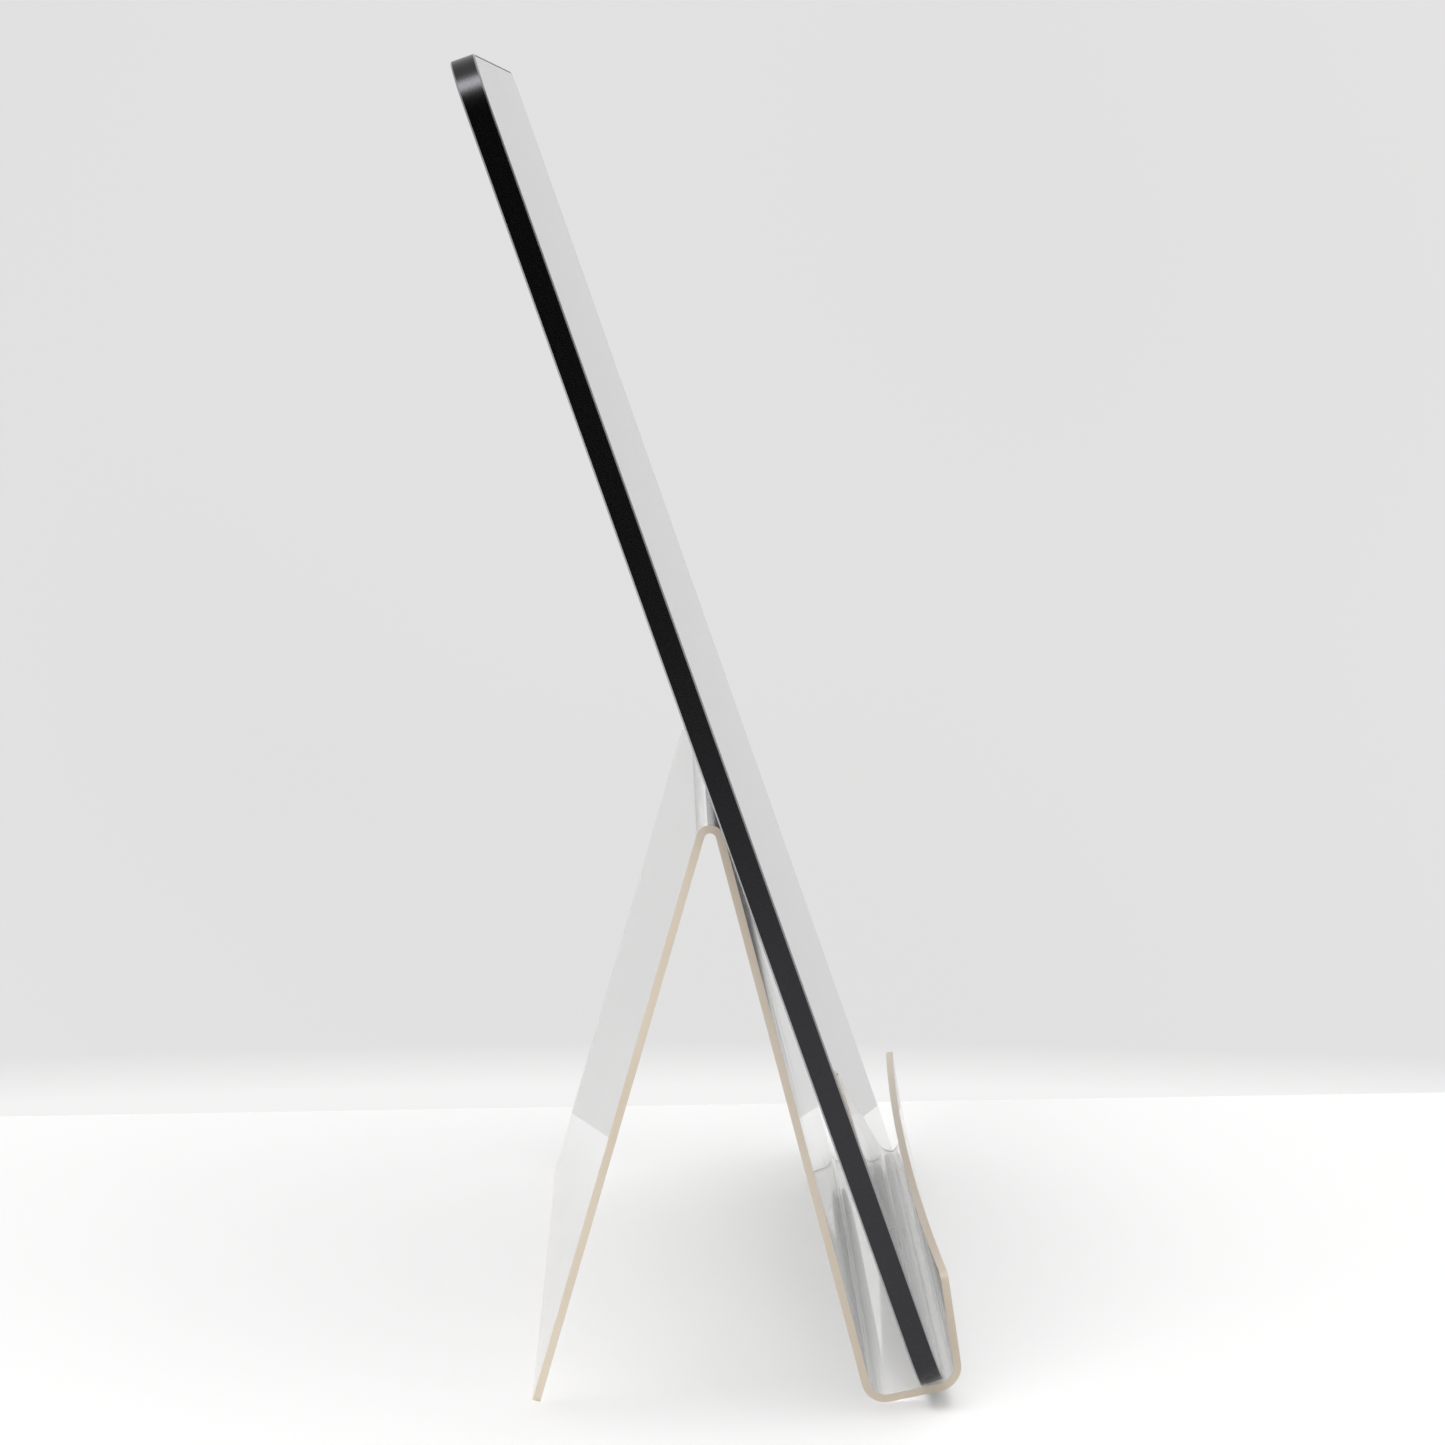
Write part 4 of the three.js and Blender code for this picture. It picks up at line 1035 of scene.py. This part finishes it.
# %% Charging socket
SOCKET_WALL = 0.3 * MM
MOUTH_ROUND = 0.08 * MM
shell = bar("socket_shell", socket_low, socket_high, segments=12)
pick(shell, "FACE", faces_towards((1, 0, 0)))
bpy.ops.mesh.inset(thickness=SOCKET_WALL)
bpy.ops.mesh.extrude_region_move(
    TRANSFORM_OT_translate={"value": (socket_low.x + SOCKET_WALL - socket_high.x, 0, 0)})
done(shell)
bevel(shell, lies_at(0, socket_high.x), MOUTH_ROUND, 2)
place_piece(lean_back(tidy(shell)), "display", "usb_c_shell")

# %% [markdown]
# The tongue is a moulded blade on a block. Its contacts are thin gold bars that run through the
# blade and stand a hair proud of it on both sides: one is modelled and copied.

# %% Tongue and contacts
BLADE_WIDTH, BLADE_HEIGHT, BLOCK = 6.7 * MM, 0.7 * MM, 2 * MM
CONTACTS, CONTACT_PITCH, CONTACT_WIDTH = 12, 0.5 * MM, 0.26 * MM
BLADE_ROUND = BLADE_HEIGHT * 0.3
CONTACT_ROOT = BLOCK * 1.1
CONTACT_PROUD = 0.02 * MM
tongue_low, tongue_high = display_box("usb_c_tongue")
middle = (tongue_low + tongue_high) / 2
tongue = bar("socket_tongue", tongue_low, (tongue_low.x + BLOCK, *tongue_high[1:]))
blade = block("blade",
              (tongue_low.x + BLOCK / 2, middle.y - BLADE_HEIGHT / 2, middle.z - BLADE_WIDTH / 2),
              (tongue_high.x, middle.y + BLADE_HEIGHT / 2, middle.z + BLADE_WIDTH / 2))
bevel(blade, lies_at(0, tongue_high.x), BLADE_ROUND, 3)
combine(tongue, blade, "UNION")
tongue.data.materials.append(dark_plastic)
contact_gold = finish("contact_gold", colour(0.75, 0.52, 0.2), colour(0.85, 0.62, 0.28), 0.25,
                      metallic=1.0, scale=4000.0)
tongue.data.materials.append(contact_gold)
first_contact = middle.z - CONTACT_PITCH * (CONTACTS - 1) / 2
contact = block("contact",
                (tongue_low.x + CONTACT_ROOT, middle.y - BLADE_HEIGHT / 2 - CONTACT_PROUD,
                 first_contact - CONTACT_WIDTH / 2),
                (tongue_high.x - BLADE_HEIGHT, middle.y + BLADE_HEIGHT / 2 + CONTACT_PROUD,
                 first_contact + CONTACT_WIDTH / 2))
contact.data.materials.append(contact_gold)
contacts = [contact] + [copy_of(contact, "contact", Vector((0, 0, CONTACT_PITCH * step)))
                        for step in range(1, CONTACTS)]
tidy(tongue)
for piece in contacts:
    tidy(piece)
joined([tongue, *contacts])
place_piece(lean_back(tongue), "display", "usb_c_tongue")

# %% [markdown]
# ## The pieces that stay
#
# Every other node keeps its own solid, because its shape is already right. Each gets the finish
# that its slot names.

# %% Dress the inner pieces
replaced = {node for piece in bpy.data.objects for node in piece.get("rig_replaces", [])}
for name, node in frame["nodes"].items():
    if name in replaced:
        continue
    node.data.materials.clear()
    node.data.materials.append(finishes[node_slots[name]])
print("kept nodes:", len(frame["nodes"]) - len(replaced))

# %% [markdown]
# ## Stage and light
#
# The frame stands on a sheet of pale board against a pale surround. A black card stands behind the
# camera. Only reflections see it, and it keeps the rim's side dark, as is usual for glossy black
# things. It could be left out, but then the rim would mirror the surround and look grey.

# %% Floor and black card
FLOOR_BEYOND = 0.186
FLOOR_NEARER = 0.85
FLOOR_SIDES = 2.4
FLOOR_TURN = 2.8
CARD_SIZE = (2.2, 1.8)
CARD_PLACE = (-1.2, 0, 0.9)


def plain(name, tone, roughness):
    material, _, shader, _ = new_material(name)
    shader.inputs["Base Color"].default_value = tone
    shader.inputs["Roughness"].default_value = roughness
    return material


def board(name, size, place, turn, stuff):
    """A flat sheet for the stage, with its size, turn and place written into its mesh."""
    bpy.ops.object.select_all(action="DESELECT")
    bpy.ops.mesh.primitive_plane_add(size=1)
    sheet = only(bpy.context.object)
    sheet.name = name
    sheet.scale = (*size, 1)
    sheet.rotation_euler = [math.radians(part) for part in turn]
    sheet.location = place
    bpy.ops.object.transform_apply(location=True, rotation=True, scale=True)
    sheet.data.materials.append(stuff)
    return sheet


floor = board("floor", (FLOOR_BEYOND + FLOOR_NEARER, FLOOR_SIDES),
              ((FLOOR_BEYOND - FLOOR_NEARER) / 2, 0, 0), (0, 0, FLOOR_TURN),
              plain("pale_board", colour(0.88, 0.877, 0.875), 0.7))
card = board("black_card", CARD_SIZE, CARD_PLACE, (0, 90, 0),
             plain("black_card", colour(0.002, 0.002, 0.002), 1.0))
card.visible_camera = False
card.visible_shadow = False
card.visible_diffuse = False

# %% [markdown]
# A broad softbox at the front and one overhead light everything evenly. They are hidden from
# reflections and from light through the clear sheet, so that they leave no hard patches there. A
# small third one makes the highlight on the rim's top corner. The surround is slightly cloudy, and
# it is paler low down, which gives the pale strip above the far edge of the board.

# %% Lights
scene = bpy.context.scene
scene.view_settings.view_transform = "Standard"
AIM = Vector((0, 0, 0.15))


def softbox(name, place, size, power):
    data = bpy.data.lights.new(name, "AREA")
    data.shape = "RECTANGLE"
    data.size, data.size_y = size
    data.energy = power
    light = bpy.data.objects.new(name, data)
    light.location = place
    light.rotation_euler = (AIM - Vector(place)).to_track_quat("-Z", "Y").to_euler()
    bpy.context.collection.objects.link(light)
    return light


front = softbox("front_softbox", place=(-0.35, -1.5, 1.1), size=(1.4, 1.0), power=4.5)
overhead = softbox("overhead_softbox", place=(-0.3, 0.0, 1.9), size=(1.2, 1.6), power=4.5)
for light in (front, overhead):
    light.visible_glossy = False
    light.visible_transmission = False
softbox("corner_softbox", place=(-0.73, 0.59, 1.69), size=(0.85, 0.45), power=14)

# %% Surround
STRIP_BOTTOM, STRIP_TOP = -0.247, -0.236
world = bpy.data.worlds.new("surround")
world.use_nodes = True
scene.world = world
tree = world.node_tree
outward = add(tree, "ShaderNodeTexCoord").outputs["Generated"]
height = add(tree, "ShaderNodeSeparateXYZ", {0: outward}).outputs["Z"]
cloud = add(tree, "ShaderNodeTexNoise", {"Vector": outward, "Scale": 2.5, "Detail": 1.0})
tone = mixed(tree, cloud.outputs["Fac"], colour(0.7, 0.697, 0.697), colour(0.84, 0.836, 0.836))
tone = mixed(tree, between(tree, height, STRIP_BOTTOM, STRIP_TOP), colour(0.9, 0.9, 0.897), tone)
tree.links.new(tone, tree.nodes["Background"].inputs["Color"])
